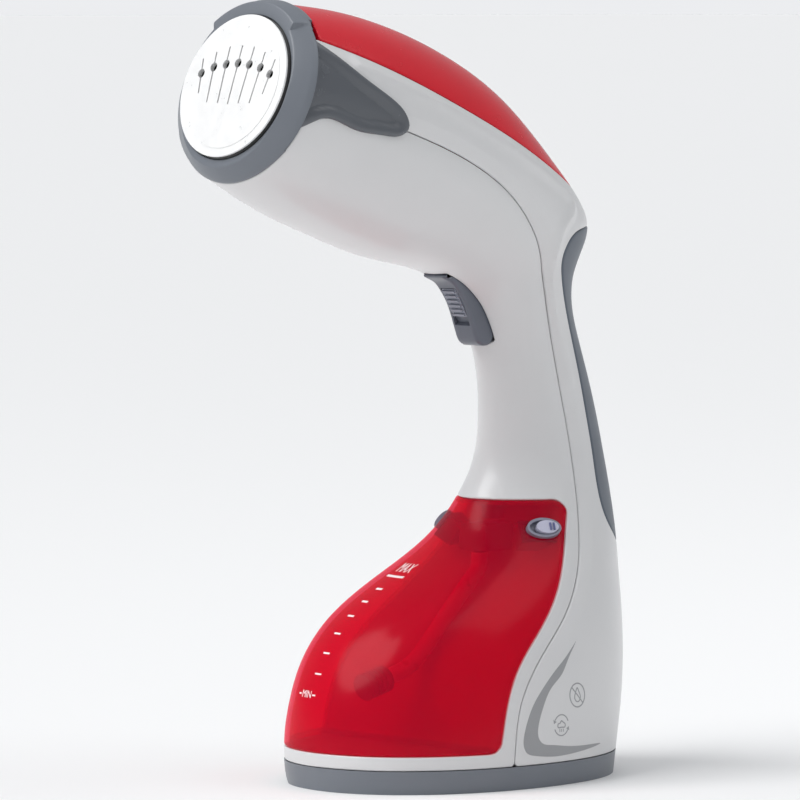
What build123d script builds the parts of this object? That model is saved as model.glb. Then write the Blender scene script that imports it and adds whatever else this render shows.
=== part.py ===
from build123d import *
import math
import os

# Handheld garment steamer that stands on its tank base.
# Millimetres, +Z up, the steam head points to -Y, X is left to right.
# The origin is the middle of the foot's flat underside.

os.makedirs("parts", exist_ok=True)

# ---------------------------------------------------------------- driving dimensions

WALL = 2.2                   # wall of the two body shells
TANK_WALL = 1.8              # wall of the water tank
GAP = 0.4                    # clearance round everything that is taken off or moves
FOOT_HEIGHT = 8.5            # height of the grey foot
FOOT_FLOOR = 2.5             # thickness of the foot's floor
RIM_HEIGHT = 5.5             # white rim between the foot and the tank
TANK_BOTTOM = FOOT_HEIGHT + RIM_HEIGHT
TANK_TOP = 102.0

PLATE_CENTRE = (0, -107.0, 255.5)
HEAD_PITCH = 19.4            # degrees that the steam head looks up
PLATE_RADIUS = 26.7
PLATE_STEP_RADIUS = 23.5
PLATE_SKIRT_RADIUS = 25.4    # the plate's skirt, which stands over the boiler's front
COLLAR_END = 9.0             # depth behind the plate's face where the body shells begin
COVER_START = 11.0           # depth behind the plate's face where the red cover begins
COVER_WALL = 2.0
GRIP_DEPTH = 1.8
WING_PROUD = 1.2
SEAM_GAP = 0.2               # gap between one outer panel and the next

TRIGGER_HALF_WIDTH = 6.0
TRIGGER_PIVOT = (6.5, 184.0)
TRIGGER_ANGLE = 9.0          # degrees from rest to fully pressed
PIN_RADIUS = 1.5
RUNNING = 0.05               # radial clearance of a shaft that turns or slides
LOCK_TRAVEL = 3.0            # travel of the steam lock's slider on the trigger

SCREW_RADIUS = 1.5
SCREW_HEAD_RADIUS = 2.9
SCREW_HEAD_HEIGHT = 2.0
SCREW_BOSS_RADIUS = 4.5
SCREW_FREE = 0.1             # a screw's clearance hole is this much wider in radius
SCREW_SINK = 4.0             # the foot's screw heads lie this deep in the foot
foot_screw_places = [(-30, -36), (30, -36), (-37, 36), (37, 36)]
JOIN_Z = 112.0               # height of the screw that joins the shells, under the grip
JOIN_HEAD_Y = 62.0

CORD_Z = 36.0                # height of the cord inlet in the back
GLAND_RADIUS = 6.5
GLAND_BORE = 3.6

HOSE_OUTER = 3.4             # water hoses inside the body
HOSE_INNER = 2.15
TUBE_OUTER = 3.0             # pickup tube inside the tank
TUBE_INNER = 2.15
BARB_RADIUS = 2.1            # stubs that the hoses are pushed on
WATER_BORE = 1.2

SHIFT_STEPS = 24             # points used when a side-view line is moved sideways

# Cross-sections of the body, from the foot up the handle and out along the head.
# Each one is a line in the middle plane, from the front or under edge (y, z) to the
# back or top edge (y, z), with its half width and how square its two halves are.
STATIONS = [
    ((-66.0, 0.0), (67.0, 0.0), 48.5, 2.15, 2.15),
    ((-67.5, 12.0), (68.5, 12.0), 49.7, 2.15, 2.15),
    ((-66.0, 29.0), (71.3, 29.0), 49.3, 2.1, 2.15),
    ((-60.5, 44.0), (72.8, 44.0), 47.5, 2.1, 2.15),
    ((-49.5, 58.5), (74.0, 58.5), 44.0, 2.05, 2.1),
    ((-27.5, 73.0), (74.0, 73.0), 38.0, 2.0, 2.1),
    ((-2.0, 87.5), (73.7, 87.5), 31.5, 2.0, 2.1),
    ((10.8, 102.0), (73.0, 102.0), 26.0, 1.9, 2.1),
    ((16.8, 117.0), (71.3, 117.0), 21.6, 1.75, 2.1),
    ((18.0, 131.5), (68.3, 131.5), 19.6, 1.7, 2.1),
    ((17.3, 146.0), (64.0, 146.0), 18.7, 1.7, 2.1),
    ((14.5, 158.0), (59.0, 160.0), 18.6, 1.7, 2.1),
    ((10.8, 168.0), (54.3, 175.5), 20.0, 1.75, 2.1),
    ((7.0, 174.0), (54.8, 187.0), 22.0, 1.8, 2.1),
    ((3.0, 178.0), (58.8, 196.5), 24.0, 1.85, 2.1),
    ((0.0, 180.5), (60.5, 204.0), 26.0, 1.9, 2.1),
    ((-3.5, 182.8), (56.0, 213.0), 28.0, 1.95, 2.1),
    ((-10.0, 185.5), (44.0, 226.0), 30.0, 2.0, 2.05),
    ((-21.5, 188.5), (19.0, 248.8), 33.0, 2.0, 2.0),
    ((-43.0, 192.9), (-8.0, 265.3), 35.0, 2.0, 2.0),
    ((-64.0, 199.8), (-34.5, 275.6), 35.7, 2.0, 2.0),
    ((-83.0, 206.8), (-59.0, 281.6), 35.5, 2.0, 2.0),
    ((-97.5, 213.5), (-74.0, 283.6), 34.8, 2.0, 2.0),
    ((-110.7, 220.7), (-88.1, 284.9), 33.8, 2.0, 2.0),
]
RING_POINTS = 16

# ---------------------------------------------------------------- shared helpers

FAR = 150.0                  # longer than anything it has to cut through

head_frame = Plane(
    origin=PLATE_CENTRE,
    x_dir=(1, 0, 0),
    z_dir=(0, -math.cos(math.radians(HEAD_PITCH)), math.sin(math.radians(HEAD_PITCH))),
)


def ring(station, inset):
    """One closed cross-section of the body, moved inwards by inset."""
    front, back, half_width, front_square, back_square = station
    start = Vector(0, *front)
    end = Vector(0, *back)
    middle = (start + end) / 2
    along = (end - start).normalized()
    half_depth = (end - start).length / 2 - inset
    half_width = half_width - inset
    points = []
    for i in range(RING_POINTS):
        angle = 2 * math.pi * i / RING_POINTS
        depth = -math.cos(angle)
        side = math.sin(angle)
        power = 2 / (front_square if depth < 0 else back_square)
        depth = math.copysign(abs(depth) ** power, depth)
        side = math.copysign(abs(side) ** power, side)
        points.append(middle + along * (half_depth * depth) + Vector(half_width * side, 0, 0))
    return Wire([Spline(*points, periodic=True)])


def envelope(inset):
    """The whole body's outer form as one solid, moved inwards by inset."""
    return Solid.make_loft([ring(station, inset) for station in STATIONS])


def block(x_range, y_range, z_range):
    """A box given by its lowest and highest x, y and z."""
    size = [high - low for low, high in (x_range, y_range, z_range)]
    centre = [(high + low) / 2 for low, high in (x_range, y_range, z_range)]
    return Pos(*centre) * Box(*size)


def rod(start, end, radius):
    """A round bar between two points."""
    line = Vector(*end) - Vector(*start)
    frame = Plane(origin=start, z_dir=line)
    return frame * Cylinder(radius, line.length, align=(Align.CENTER, Align.CENTER, Align.MIN))


def in_head(shape):
    """Moves a shape from the head's own frame, +Z out of the plate, to its place."""
    return head_frame * shape


def head_disc(radius, near, far):
    """A disc in the head's own frame, from depth near to depth far behind the plate's face."""
    return Pos(0, 0, -far) * Cylinder(radius, far - near, align=(Align.CENTER, Align.CENTER, Align.MIN))


def shifted(line, distance):
    """A side-view line moved to its left by distance."""
    edge = line.edge()
    if distance == 0:
        return edge
    count = 1 if edge.geom_type == GeomType.LINE else SHIFT_STEPS
    points = []
    for step in range(count + 1):
        share = step / count
        points.append(edge @ share + Vector(1, 0, 0).cross(edge % share) * distance)
    if count == 1:
        return Edge.make_line(*points)
    return Edge.make_spline(points, tangents=[edge % 0, edge % 1])


def side_prism(lines, rim=(), grow=0, half_width=FAR):
    """A side-view area made solid: its lines moved out by grow, closed round by the rim's corners."""
    edges = [shifted(line, grow) for line in lines]
    start = edges[0] @ 0
    end = edges[-1] @ 1
    if (end - start).length > 0.001:
        edges += Polyline(end, *yz(*rim), start).edges()
    area = Face(Wire(edges))
    return Pos(-half_width, 0, 0) * extrude(area, amount=2 * half_width, dir=(1, 0, 0))


def yz(*points):
    """Side-view points (y, z) as points in space."""
    return [(0, y, z) for y, z in points]


def mirrored(shape):
    return mirror(shape, about=Plane.YZ)


def screw(head_point, direction, length):
    """A pan-head screw: the head's underside is at head_point, the shank goes along direction."""
    frame = Plane(origin=head_point, z_dir=direction)
    shank = Cylinder(SCREW_RADIUS, length, align=(Align.CENTER, Align.CENTER, Align.MIN))
    head = Pos(0, 0, -SCREW_HEAD_HEIGHT / 2) * Cylinder(SCREW_HEAD_RADIUS, SCREW_HEAD_HEIGHT)
    slot = Pos(0, 0, -SCREW_HEAD_HEIGHT) * Box(0.8, 3.6, 1.6)
    cross = Pos(0, 0, -SCREW_HEAD_HEIGHT) * Box(3.6, 0.8, 1.6)
    return frame * (shank + head - slot - cross)


def hose(points, outer, inner):
    """A bent hose: straight runs joined by tangent arcs, with a hollow bore."""
    corners = [Vector(*point) for point in points]
    radii = []
    for before, here, after in zip(corners, corners[1:], corners[2:]):
        turn = math.radians((here - before).get_angle(after - here))
        shorter = min((here - before).length, (after - here).length)
        radii.append(0.45 * shorter / math.tan(turn / 2))
    path = FilletPolyline(*corners, radius=radii)
    start = Plane(origin=corners[0], z_dir=corners[1] - corners[0])
    skin = sweep(start * Circle(outer), path=path)
    bore = sweep(start * Circle(inner), path=path)
    return skin - bore


def coil_spring(start, end, coil_radius, wire_radius, turns):
    """A compression spring of round wire between two points."""
    line = Vector(*end) - Vector(*start)
    free = line.length - 2 * wire_radius
    frame = Plane(origin=Vector(*start) + line.normalized() * wire_radius, z_dir=line)
    path = Helix(pitch=free / turns, height=free, radius=coil_radius)
    section = Plane(origin=path @ 0, z_dir=path % 0) * Circle(wire_radius)
    return frame * sweep(section, path=path, is_frenet=True)


def save(name, shape):
    """Writes one node's solids."""
    solids = shape.solids()
    export_step(Compound(children=list(solids)) if len(solids) > 1 else solids[0], f"parts/{name}.step")


# ---------------------------------------------------------------- side-view lines

# Parting line between the front and the rear shell.
seam = [
    (-120, 257.5), (-89, 249), (-54, 238.7), (-14, 223.5), (7, 209.7), (20, 194.5),
    (28.5, 178), (34.5, 161), (40, 137), (42.3, 120), (40.5, 101), (33, 80),
    (16, 60), (-2, 43.5), (-11, 29), (-13.7, 16), (-13.9, 0),
]

# Back edge of the water tank, from its top corner down to its bottom corner.
tank_back = [
    (33.6, 97.5), (28.3, 86.9), (17.8, 71.4), (-0.2, 53.9), (-10.3, 43.1), (-16.3, 30.9), (-19.6, 18),
]
TANK_CORNER_TOP = (29.6, TANK_TOP)
TANK_CORNER_BOTTOM = (-24.0, TANK_BOTTOM)

# Lower edge of the red top cover.
cover_edge = [(56, 212.6), (28.9, 224.4), (2.7, 235.8), (-32.7, 250.8), (-64, 263.2), (-95, 273.5)]
# Edge of the soft grip on the back of the handle.
grip_edge = [
    (80, 77.5), (62.9, 86), (54.5, 95), (53, 106), (53.6, 118), (52.4, 130), (48, 152.6),
    (41.2, 172.5), (35.2, 185), (33.4, 193), (36.6, 198.4), (46.5, 201.5), (62, 203.2),
]
# Edge of the collar's side wings, which run back along the head.
wing_edge = [
    (-104, 280), (-94, 273), (-87, 268), (-72.5, 257.5), (-61.5, 250.5), (-55.2, 244),
    (-54.6, 240), (-58, 237.4), (-66, 237.4), (-80, 239.6), (-95, 243.6), (-106, 240),
]

# The trigger, from its top corner down the finger face and back up inside the handle.
trigger_face = [(-9, 185.0), (-1.6, 180), (2.4, 174.5), (5.3, 168), (7.2, 163), (9.4, 159.6)]
trigger_back = [(13.5, 158.8), (16.6, 161.5), (17.0, 166)]
TRIGGER_BACK_TOP = (17.0, 177)


def front_region(grow=0):
    """Everything in front of and below the parting line."""
    return side_prism([Spline(*yz(*seam))], [(-FAR, 0), (-FAR, seam[0][1])], grow)


def tank_lines():
    """The tank's outline from its top edge, round its back, to its bottom corner."""
    top = Line(*yz((-FAR, TANK_TOP), TANK_CORNER_TOP))
    corner_top = Spline(*yz(TANK_CORNER_TOP, tank_back[0]), tangents=[(0, 1, 0), (0, -0.4, -1)])
    back = Spline(*yz(*tank_back), tangents=[(0, -0.4, -1), (0, -0.1, -1)])
    corner_bottom = Spline(*yz(tank_back[-1], TANK_CORNER_BOTTOM), tangents=[(0, -0.1, -1), (0, -1, 0)])
    bottom = Line(*yz(TANK_CORNER_BOTTOM, (-FAR, TANK_BOTTOM)))
    return [top, corner_top, back, corner_bottom, bottom]


def tank_region(grow=0):
    """Everything in front of the tank's back edge, between its top and its bottom."""
    return side_prism(tank_lines(), [], grow)


def tank_hollow_region():
    """The side view of the tank's hollow, which is open downwards."""
    mouth_back = (tank_back[-1][0] - TANK_WALL, 0)
    return side_prism(tank_lines()[:3], [mouth_back, (-FAR, 0)], -TANK_WALL)


def cover_region(grow=0):
    """Everything above the red cover's lower edge."""
    return side_prism([Spline(*yz(*cover_edge))], [(-FAR, 2 * FAR), (FAR, 2 * FAR)], grow)


def grip_region(grow=0):
    """Everything behind the soft grip's edge."""
    return side_prism([Spline(*yz(*grip_edge))], [(FAR, grip_edge[-1][1]), (FAR, grip_edge[0][1])], grow)


def wing_region():
    """Side-view area of the collar's wings."""
    return side_prism([Spline(*yz(*wing_edge))])


def trigger_region():
    """The trigger made solid."""
    face = Spline(*yz(*trigger_face))
    toe = Line(*yz(trigger_face[-1], trigger_back[0]))
    back = Spline(*yz(*trigger_back), tangents=[(0, 1, 0.2), (0, 0, 1)])
    up = Line(*yz(trigger_back[-1], TRIGGER_BACK_TOP))
    shoulder = Spline(
        *yz(TRIGGER_BACK_TOP, (12.5, 184.5), (6.5, 188.6), (-1.5, 187.6), trigger_face[0]),
        tangents=[(0, 0, 1), (0, -1, -0.5)],
    )
    return side_prism([face, toe, back, up, shoulder], half_width=TRIGGER_HALF_WIDTH)


# Opening in the handle's front that the trigger sits in, a little larger than the trigger.
trigger_slot = [
    (-9.9, 185.4), (-1.7, 188.7), (2.5, 189.6), (6.7, 189.6), (10.2, 188.0), (13.4, 185.3),
    (17.8, 177.4), (17.8, 166), (17.2, 161.1), (13.5, 158.2), (8.5, 159.0), (-8, 172), (-12, 182),
]
SLOT_STEPS = 6               # positions of the swing that the opening is cut for


# ---------------------------------------------------------------- body forms used by many pieces

outer = envelope(0)
inner = envelope(WALL)
mid_wall = envelope(WALL / 2)
tank_inner = envelope(TANK_WALL)
shell = outer - inner
above_foot = block((-FAR, FAR), (-FAR, FAR), (FOOT_HEIGHT, 2 * FAR))

TRIGGER_AXIS = Axis((0, *TRIGGER_PIVOT), (1, 0, 0))

# ---------------------------------------------------------------- latch places

# The latch on the tank's right side: its frame's X points back along the slide, Z points out.
latch_frame = Plane(origin=(26.6, 21.9, 92.0), x_dir=(0.42, 0.905, -0.02), z_dir=(0.77, -0.345, 0.536))
BEZEL_LENGTH = 13.2
BEZEL_HEIGHT = 8.0
BEZEL_DEPTH = 2.6
DISH_MARGIN = 1.0
PAD_LENGTH = 8.6
PAD_PLACE = 1.1              # the thumb pad rests this far back from the bezel's middle
PAD_HEIGHT = 5.2
TONGUE = (12.5, 3.2, 1.6)    # latch tongue: length, height, thickness
TONGUE_START = -1.0
TONGUE_DEPTH = -5.4


def oval(length, height, low, high):
    """An elliptical pad in the latch's frame."""
    return Pos(0, 0, low) * extrude(Ellipse(length / 2, height / 2), amount=high - low)


def tongue(grow=0):
    """The latch's tongue in the latch's frame, which reaches back into the body."""
    length, height, thickness = TONGUE
    middle = Pos(TONGUE_START + length / 2, 0, TONGUE_DEPTH)
    return middle * Box(length + 2 * grow, height + 2 * grow, thickness + 2 * grow)


def tongue_holes():
    """What the right tongue needs free round it, also while the tank slides forwards."""
    steps = [Pos(0, -3.0 * step, 0) * (latch_frame * tongue(0.5)) for step in range(3)]
    return steps[0] + steps[1] + steps[2]


# ---------------------------------------------------------------- tank inlet and outlet places

SPIGOT_Z = 88.5
SPIGOT_RADIUS = 3.5
SPIGOT_END = 38.0
DROP_Y = 14.5                # the valve's stub that the pickup tube hangs from
SEAL_RADIUS = 7.0
FILL_Y = 21.5                # the fill opening in the tank's top
FILL_RADIUS = 4.3
PLUG_FLANGE_RADIUS = 6.3
FILL_BOSS_RADIUS = 8.0

# ---------------------------------------------------------------- shells


def make_front_shell():
    skin = (shell & front_region() & above_foot) - tank_region(GAP)
    skin -= in_head(head_disc(60, 0, COLLAR_END))
    bay = (tank_region(GAP + 2.0) - tank_region(GAP)) & mid_wall & front_region(-0.2) & above_foot
    part = skin + bay
    for x, y in foot_screw_places[:2]:
        part += rod((x, y, 0), (x, y, TANK_BOTTOM - GAP - 1), SCREW_BOSS_RADIUS) & above_foot
    pivot_boss = rod((-20, *TRIGGER_PIVOT), (20, *TRIGGER_PIVOT), 3.6) & mid_wall
    pivot_boss -= block((-TRIGGER_HALF_WIDTH - GAP, TRIGGER_HALF_WIDTH + GAP), (-20, 40), (150, 200))
    switch_web = block((-20, 20), (26, 28), (156, 167.5)) & mid_wall
    joining_boss = rod((0, 0, JOIN_Z), (0, 54, JOIN_Z), 3.4) & mid_wall
    spring_web = block((-30, 30), (9, 19), (191, 193)) & mid_wall & front_region(-0.2)
    part += pivot_boss + switch_web + joining_boss + spring_web
    slot_edges = Polyline(*yz(*trigger_slot, trigger_slot[0])).edges()
    slot = side_prism(slot_edges, half_width=TRIGGER_HALF_WIDTH + GAP)
    for step in range(SLOT_STEPS + 1):
        part -= slot.rotate(TRIGGER_AXIS, TRIGGER_ANGLE * step / SLOT_STEPS)
    part -= rod((-9.5, *TRIGGER_PIVOT), (9.5, *TRIGGER_PIVOT), PIN_RADIUS)
    part -= rod((0, 20, SPIGOT_Z), (0, 36, SPIGOT_Z), SEAL_RADIUS)
    part -= rod((0, FILL_Y, TANK_TOP - 3), (0, FILL_Y, TANK_TOP + 6), PLUG_FLANGE_RADIUS + 1)
    part -= tongue_holes()
    part -= mirrored(tongue_holes())
    for x, y in foot_screw_places[:2]:
        part -= rod((x, y, 0), (x, y, TANK_BOTTOM - 2.5), SCREW_RADIUS)
    part -= rod((0, 30, JOIN_Z), (0, 60, JOIN_Z), SCREW_RADIUS)
    return part


def make_rear_shell():
    part = (shell - front_region(SEAM_GAP)) & above_foot
    part -= in_head(head_disc(60, 0, COLLAR_END))
    part -= cover_region(SEAM_GAP)
    part -= grip_region(SEAM_GAP)
    backing = (envelope(GRIP_DEPTH + SEAM_GAP) - envelope(GRIP_DEPTH + SEAM_GAP + 2)) & grip_region(2.5)
    part += backing - front_region(SEAM_GAP) - cover_region(SEAM_GAP)
    for x, y in foot_screw_places[2:]:
        part += rod((x, y, FOOT_HEIGHT), (x, y, 22), SCREW_BOSS_RADIUS) & mid_wall
        part -= rod((x, y, 0), (x, y, 18), SCREW_RADIUS)
    part -= rod((0, 50, CORD_Z), (0, 90, CORD_Z), GLAND_RADIUS)
    part += rod((0, 54.2, JOIN_Z), (0, 80, JOIN_Z), 5.0) & envelope(GRIP_DEPTH + 1.2)
    part -= rod((0, 50, JOIN_Z), (0, 90, JOIN_Z), SCREW_RADIUS + SCREW_FREE)
    part -= rod((0, JOIN_HEAD_Y, JOIN_Z), (0, 90, JOIN_Z), SCREW_HEAD_RADIUS + 0.2)
    return part


def make_top_cover():
    skin = (outer - envelope(COVER_WALL)) & cover_region()
    return skin - in_head(head_disc(60, 0, COVER_START + 0.2))


def make_rear_grip():
    return (outer - envelope(GRIP_DEPTH)) & grip_region()


def make_base_foot():
    foot = outer & block((-FAR, FAR), (-FAR, FAR), (0, FOOT_HEIGHT))
    foot -= inner & block((-FAR, FAR), (-FAR, FAR), (FOOT_FLOOR, FOOT_HEIGHT))
    for x, y in foot_screw_places:
        foot += rod((x, y, 0), (x, y, FOOT_HEIGHT), SCREW_BOSS_RADIUS) & mid_wall
        foot -= rod((x, y, 0), (x, y, FOOT_HEIGHT), SCREW_RADIUS + SCREW_FREE)
        foot -= rod((x, y, 0), (x, y, SCREW_SINK), SCREW_HEAD_RADIUS + 0.2)
    return foot


def make_foot_screws():
    screws = [screw((x, y, SCREW_SINK), (0, 0, 1), 7.0) for x, y in foot_screw_places]
    return Compound(children=[placed.solid() for placed in screws])


def make_shell_screw():
    return screw((0, JOIN_HEAD_Y, JOIN_Z), (0, -1, 0), 20)


# ---------------------------------------------------------------- steam head


def make_nozzle_collar():
    bore = PLATE_RADIUS + 0.3
    ring_edge = [(bore, -9), (bore, -2), (29.3, -2), (31.8, -3.6), (33.6, -6.4), (34.1, -9)]
    lobe_edge = [(bore, -9), (bore, -2), (30.4, -2), (32.6, -3.4), (34.4, -6.2), (35.0, -9)]
    hood_edge = [(bore, -9), (bore, -2), (32.2, -2), (33.4, -3.4), (34.6, -6.2), (35.0, -9)]

    def band(edge, start, sweep_angle):
        profile = make_face(Polyline(*[(radius, 0, depth) for radius, depth in edge], close=True))
        turned = revolve(profile, axis=Axis.Z, revolution_arc=sweep_angle)
        return Rot(0, 0, start) * turned

    collar = band(ring_edge, 0, 360)
    collar += band(hood_edge, 90 - 42, 84)
    collar += band(lobe_edge, -14, 54)
    collar += band(lobe_edge, 140, 54)
    collar -= Pos(0, -32.5, -5.6) * Box(12, 4.5, 2.6)
    collar = in_head(collar)
    hood = (outer - envelope(COVER_WALL)) & cover_region()
    collar += hood & in_head(head_disc(60, COLLAR_END - 0.4, COVER_START))
    wings = (envelope(-WING_PROUD) - outer) & wing_region()
    wings -= in_head(head_disc(60, 0, COLLAR_END - 0.4))
    return collar + wings


# slits of the steam plate: sideways place at the top and the bottom, heights, hole height
slits = [
    (0.0, 0.0, 15.0, -7.1, 8.3),
    (6.5, 5.5, 14.5, -6.7, 7.8),
    (12.9, 11.4, 12.5, -6.6, 6.7),
    (19.2, 17.1, 9.9, -3.2, 4.3),
]
SLIT_WIDTH = 0.7
STEAM_HOLE_RADIUS = 1.7


def slit_cut(top_x, bottom_x, top_y, bottom_y, hole_y):
    """One slit through the plate with its round steam hole, in the head's own frame."""
    start = Vector(bottom_x, bottom_y, 0)
    end = Vector(top_x, top_y, 0)
    line = end - start
    angle = math.degrees(math.atan2(line.Y, line.X))
    middle = (start + end) / 2
    cut = Pos(middle.X, middle.Y, -1) * Rot(0, 0, angle) * Box(line.length, SLIT_WIDTH, 4)
    share = (hole_y - bottom_y) / (top_y - bottom_y)
    hole_x = bottom_x + (top_x - bottom_x) * share
    hole = Pos(hole_x, hole_y, -1) * Cylinder(STEAM_HOLE_RADIUS, 4)
    return cut + hole


def make_steam_plate():
    plate = head_disc(PLATE_STEP_RADIUS, 0, 1.8) + head_disc(PLATE_RADIUS, 0.3, 1.0)
    plate += head_disc(PLATE_SKIRT_RADIUS, 0.8, 9.0) - head_disc(PLATE_SKIRT_RADIUS - 1.2, 1.8, 9.0)
    for top_x, bottom_x, top_y, bottom_y, hole_y in slits:
        plate -= slit_cut(top_x, bottom_x, top_y, bottom_y, hole_y)
        if top_x > 0:
            plate -= slit_cut(-top_x, -bottom_x, top_y, bottom_y, hole_y)
    return in_head(plate)


def make_plate_gasket():
    return in_head(head_disc(PLATE_RADIUS + 0.2, 1.1, 8.4) - head_disc(PLATE_SKIRT_RADIUS + 0.05, 1.1, 8.4))


BOILER_RADIUS = 24.1
BOILER_FRONT = 5.0
BOILER_BACK = 32.0
CARRIER_DEPTH = 22.2
CARRIER_THICKNESS = 2.4
ELEMENT_RADIUS = 17.5
ELEMENT_TUBE = 3.0
NIPPLE = (0, 9.5)
EAR_PLACE = 27.0             # the boiler's screw ears stand this far from its middle
ear_angles = [90, 210, 330]


def element_ring():
    """The cast-in heating tube, open at the bottom."""
    arc = CenterArc((0, 0, 0), ELEMENT_RADIUS, -55, 290)
    section = Plane(origin=arc @ 0, z_dir=arc % 0) * Circle(ELEMENT_TUBE)
    return Pos(0, 0, -BOILER_BACK) * sweep(section, path=arc)


def make_boiler_body():
    boiler = head_disc(BOILER_RADIUS, BOILER_FRONT, BOILER_BACK) - head_disc(20, BOILER_FRONT, 13)
    ear = head_disc(3.6, 16, CARRIER_DEPTH) + Pos(-3, 0, -19.1) * Box(6, 7.2, 6.2)
    for angle in ear_angles:
        boiler += Rot(0, 0, angle) * Pos(EAR_PLACE, 0, 0) * ear
    for angle in ear_angles:
        boiler -= Rot(0, 0, angle) * Pos(EAR_PLACE, 0, 0) * head_disc(SCREW_RADIUS, 16, CARRIER_DEPTH)
    boiler += Pos(*NIPPLE, 0) * head_disc(BARB_RADIUS, BOILER_BACK - 1, 42)
    boiler -= Pos(*NIPPLE, 0) * head_disc(WATER_BORE, 12, 42)
    boiler -= element_ring()
    return in_head(boiler)


def make_heating_element():
    element = element_ring()
    for angle in (-55, 235):
        x = ELEMENT_RADIUS * math.cos(math.radians(angle))
        y = ELEMENT_RADIUS * math.sin(math.radians(angle))
        element += Pos(x, y, 0) * head_disc(1.6, BOILER_BACK, 44)
    return in_head(element)


def make_boiler_carrier():
    carrier = in_head(head_disc(60, CARRIER_DEPTH, CARRIER_DEPTH + CARRIER_THICKNESS)) & envelope(WALL + 0.1)
    carrier -= in_head(head_disc(BOILER_RADIUS + 0.1, 0, 60))
    for angle in ear_angles:
        hole = Rot(0, 0, angle) * Pos(EAR_PLACE, 0, 0) * head_disc(SCREW_RADIUS + SCREW_FREE, 0, 60)
        carrier -= in_head(hole)
    return carrier


def make_boiler_screws():
    screws = []
    for angle in ear_angles:
        place = head_frame * (Rot(0, 0, angle) * Pos(EAR_PLACE, 0, -CARRIER_DEPTH - CARRIER_THICKNESS))
        screws.append(screw(place.position, head_frame.z_dir, 7).solid())
    return Compound(children=screws)


def make_thermostat():
    can = head_disc(6.5, BOILER_BACK, BOILER_BACK + 4) + head_disc(4.6, BOILER_BACK + 4, BOILER_BACK + 8)
    body = Pos(0, -3, 0) * can
    for side in (-1, 1):
        body += Pos(side * 3, -3, -BOILER_BACK - 10) * Box(0.8, 3.2, 6)
    return in_head(body)


def make_thermal_fuse():
    barrel = Rot(0, 90, 0) * Cylinder(1.8, 11)
    leads = Rot(0, 90, 0) * Cylinder(0.5, 17)
    return in_head(Pos(0, -12.2, -BOILER_BACK - 1.85) * (barrel + leads))


# ---------------------------------------------------------------- trigger group

SPRING_Y = 13.6              # the return spring stands on the trigger's shoulder
SPRING_SEAT_Z = 180.6
LOCK_PLACE = (1.65, 174.5)   # middle of the lock slider on the trigger's finger face
LOCK_SLOPE = (0.509, -0.861)
LOCK_LENGTH = 12.0
LOCK_HALF_WIDTH = 3.6
LOCK_SINK = 1.3

lock_frame = Plane(origin=(0, *LOCK_PLACE), x_dir=(0, *LOCK_SLOPE), z_dir=(0, LOCK_SLOPE[1], -LOCK_SLOPE[0]))


def make_trigger():
    body = trigger_region()
    recess_length = LOCK_LENGTH + LOCK_TRAVEL + 2 * 0.3
    recess = Pos(LOCK_TRAVEL / 2, 0, 3.0 - LOCK_SINK) * Box(recess_length, 2 * LOCK_HALF_WIDTH + 0.6, 6.0)
    body -= lock_frame * recess
    hollow = block((-4.2, 4.2), (8.6, 15.2), (163.5, 178))
    body -= hollow
    body -= block((-FAR, FAR), (SPRING_Y - 3.0, FAR), (SPRING_SEAT_Z, SPRING_SEAT_Z + 20))
    body -= rod((-20, *TRIGGER_PIVOT), (20, *TRIGGER_PIVOT), PIN_RADIUS + RUNNING)
    return body


def make_steam_lock():
    pad = Pos(0, 0, 0.55 - LOCK_SINK) * Box(LOCK_LENGTH, 2 * LOCK_HALF_WIDTH, 1.0)
    for step in range(6):
        place = -LOCK_LENGTH / 2 + 1.0 + step * 2.0
        pad += Pos(place, 0, 1.35 - LOCK_SINK) * Box(0.9, 2 * LOCK_HALF_WIDTH - 1.2, 0.9)
    return lock_frame * pad


def make_trigger_pin():
    return rod((-9.4, *TRIGGER_PIVOT), (9.4, *TRIGGER_PIVOT), PIN_RADIUS)


def make_trigger_spring():
    return coil_spring((0, SPRING_Y, SPRING_SEAT_Z + 0.2), (0, SPRING_Y, 190.8), 2.2, 0.35, 5)


SWITCH_Z = 172.0


def make_micro_switch():
    body = block((-3.2, 3.2), (20, 30), (167.6, 181.6))
    body -= block((-1.6, 1.6), (19, 25), (SWITCH_Z - 1.3, SWITCH_Z + 1.3))
    for z in (169.5, 174.5, 179.5):
        body += block((-0.4, 0.4), (30, 35), (z - 1.3, z + 1.3))
    return body


def make_switch_plunger():
    return block((-1.5, 1.5), (17.3, 22), (SWITCH_Z - 1.2, SWITCH_Z + 1.2))


# ---------------------------------------------------------------- tank group


def tank_hollow():
    return tank_inner & tank_hollow_region()


def make_tank_shell(cavity):
    part = outer & tank_region()
    part -= cavity
    part += rod((0, FILL_Y, TANK_TOP - 6), (0, FILL_Y, TANK_TOP - 0.5), FILL_BOSS_RADIUS)
    part -= rod((0, FILL_Y, TANK_TOP - 7), (0, FILL_Y, TANK_TOP + 1), FILL_RADIUS)
    part -= rod((0, FILL_Y, TANK_TOP - 2.6), (0, FILL_Y, TANK_TOP + 1), PLUG_FLANGE_RADIUS + 0.3)
    part -= rod((0, 20, SPIGOT_Z), (0, 40, SPIGOT_Z), SPIGOT_RADIUS)
    window = latch_frame * oval(BEZEL_LENGTH + 0.1, BEZEL_HEIGHT + 0.1, -8, 4)
    part -= window
    part -= mirrored(window)
    part -= tongue_holes()
    part -= mirrored(tongue_holes())
    return part


def make_tank_floor():
    back = tank_back[-1][0] - TANK_WALL - 0.1
    plate = envelope(TANK_WALL + 0.05) & block((-FAR, FAR), (-FAR, back), (TANK_BOTTOM, TANK_BOTTOM + 2))
    return plate & tank_region()


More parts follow.
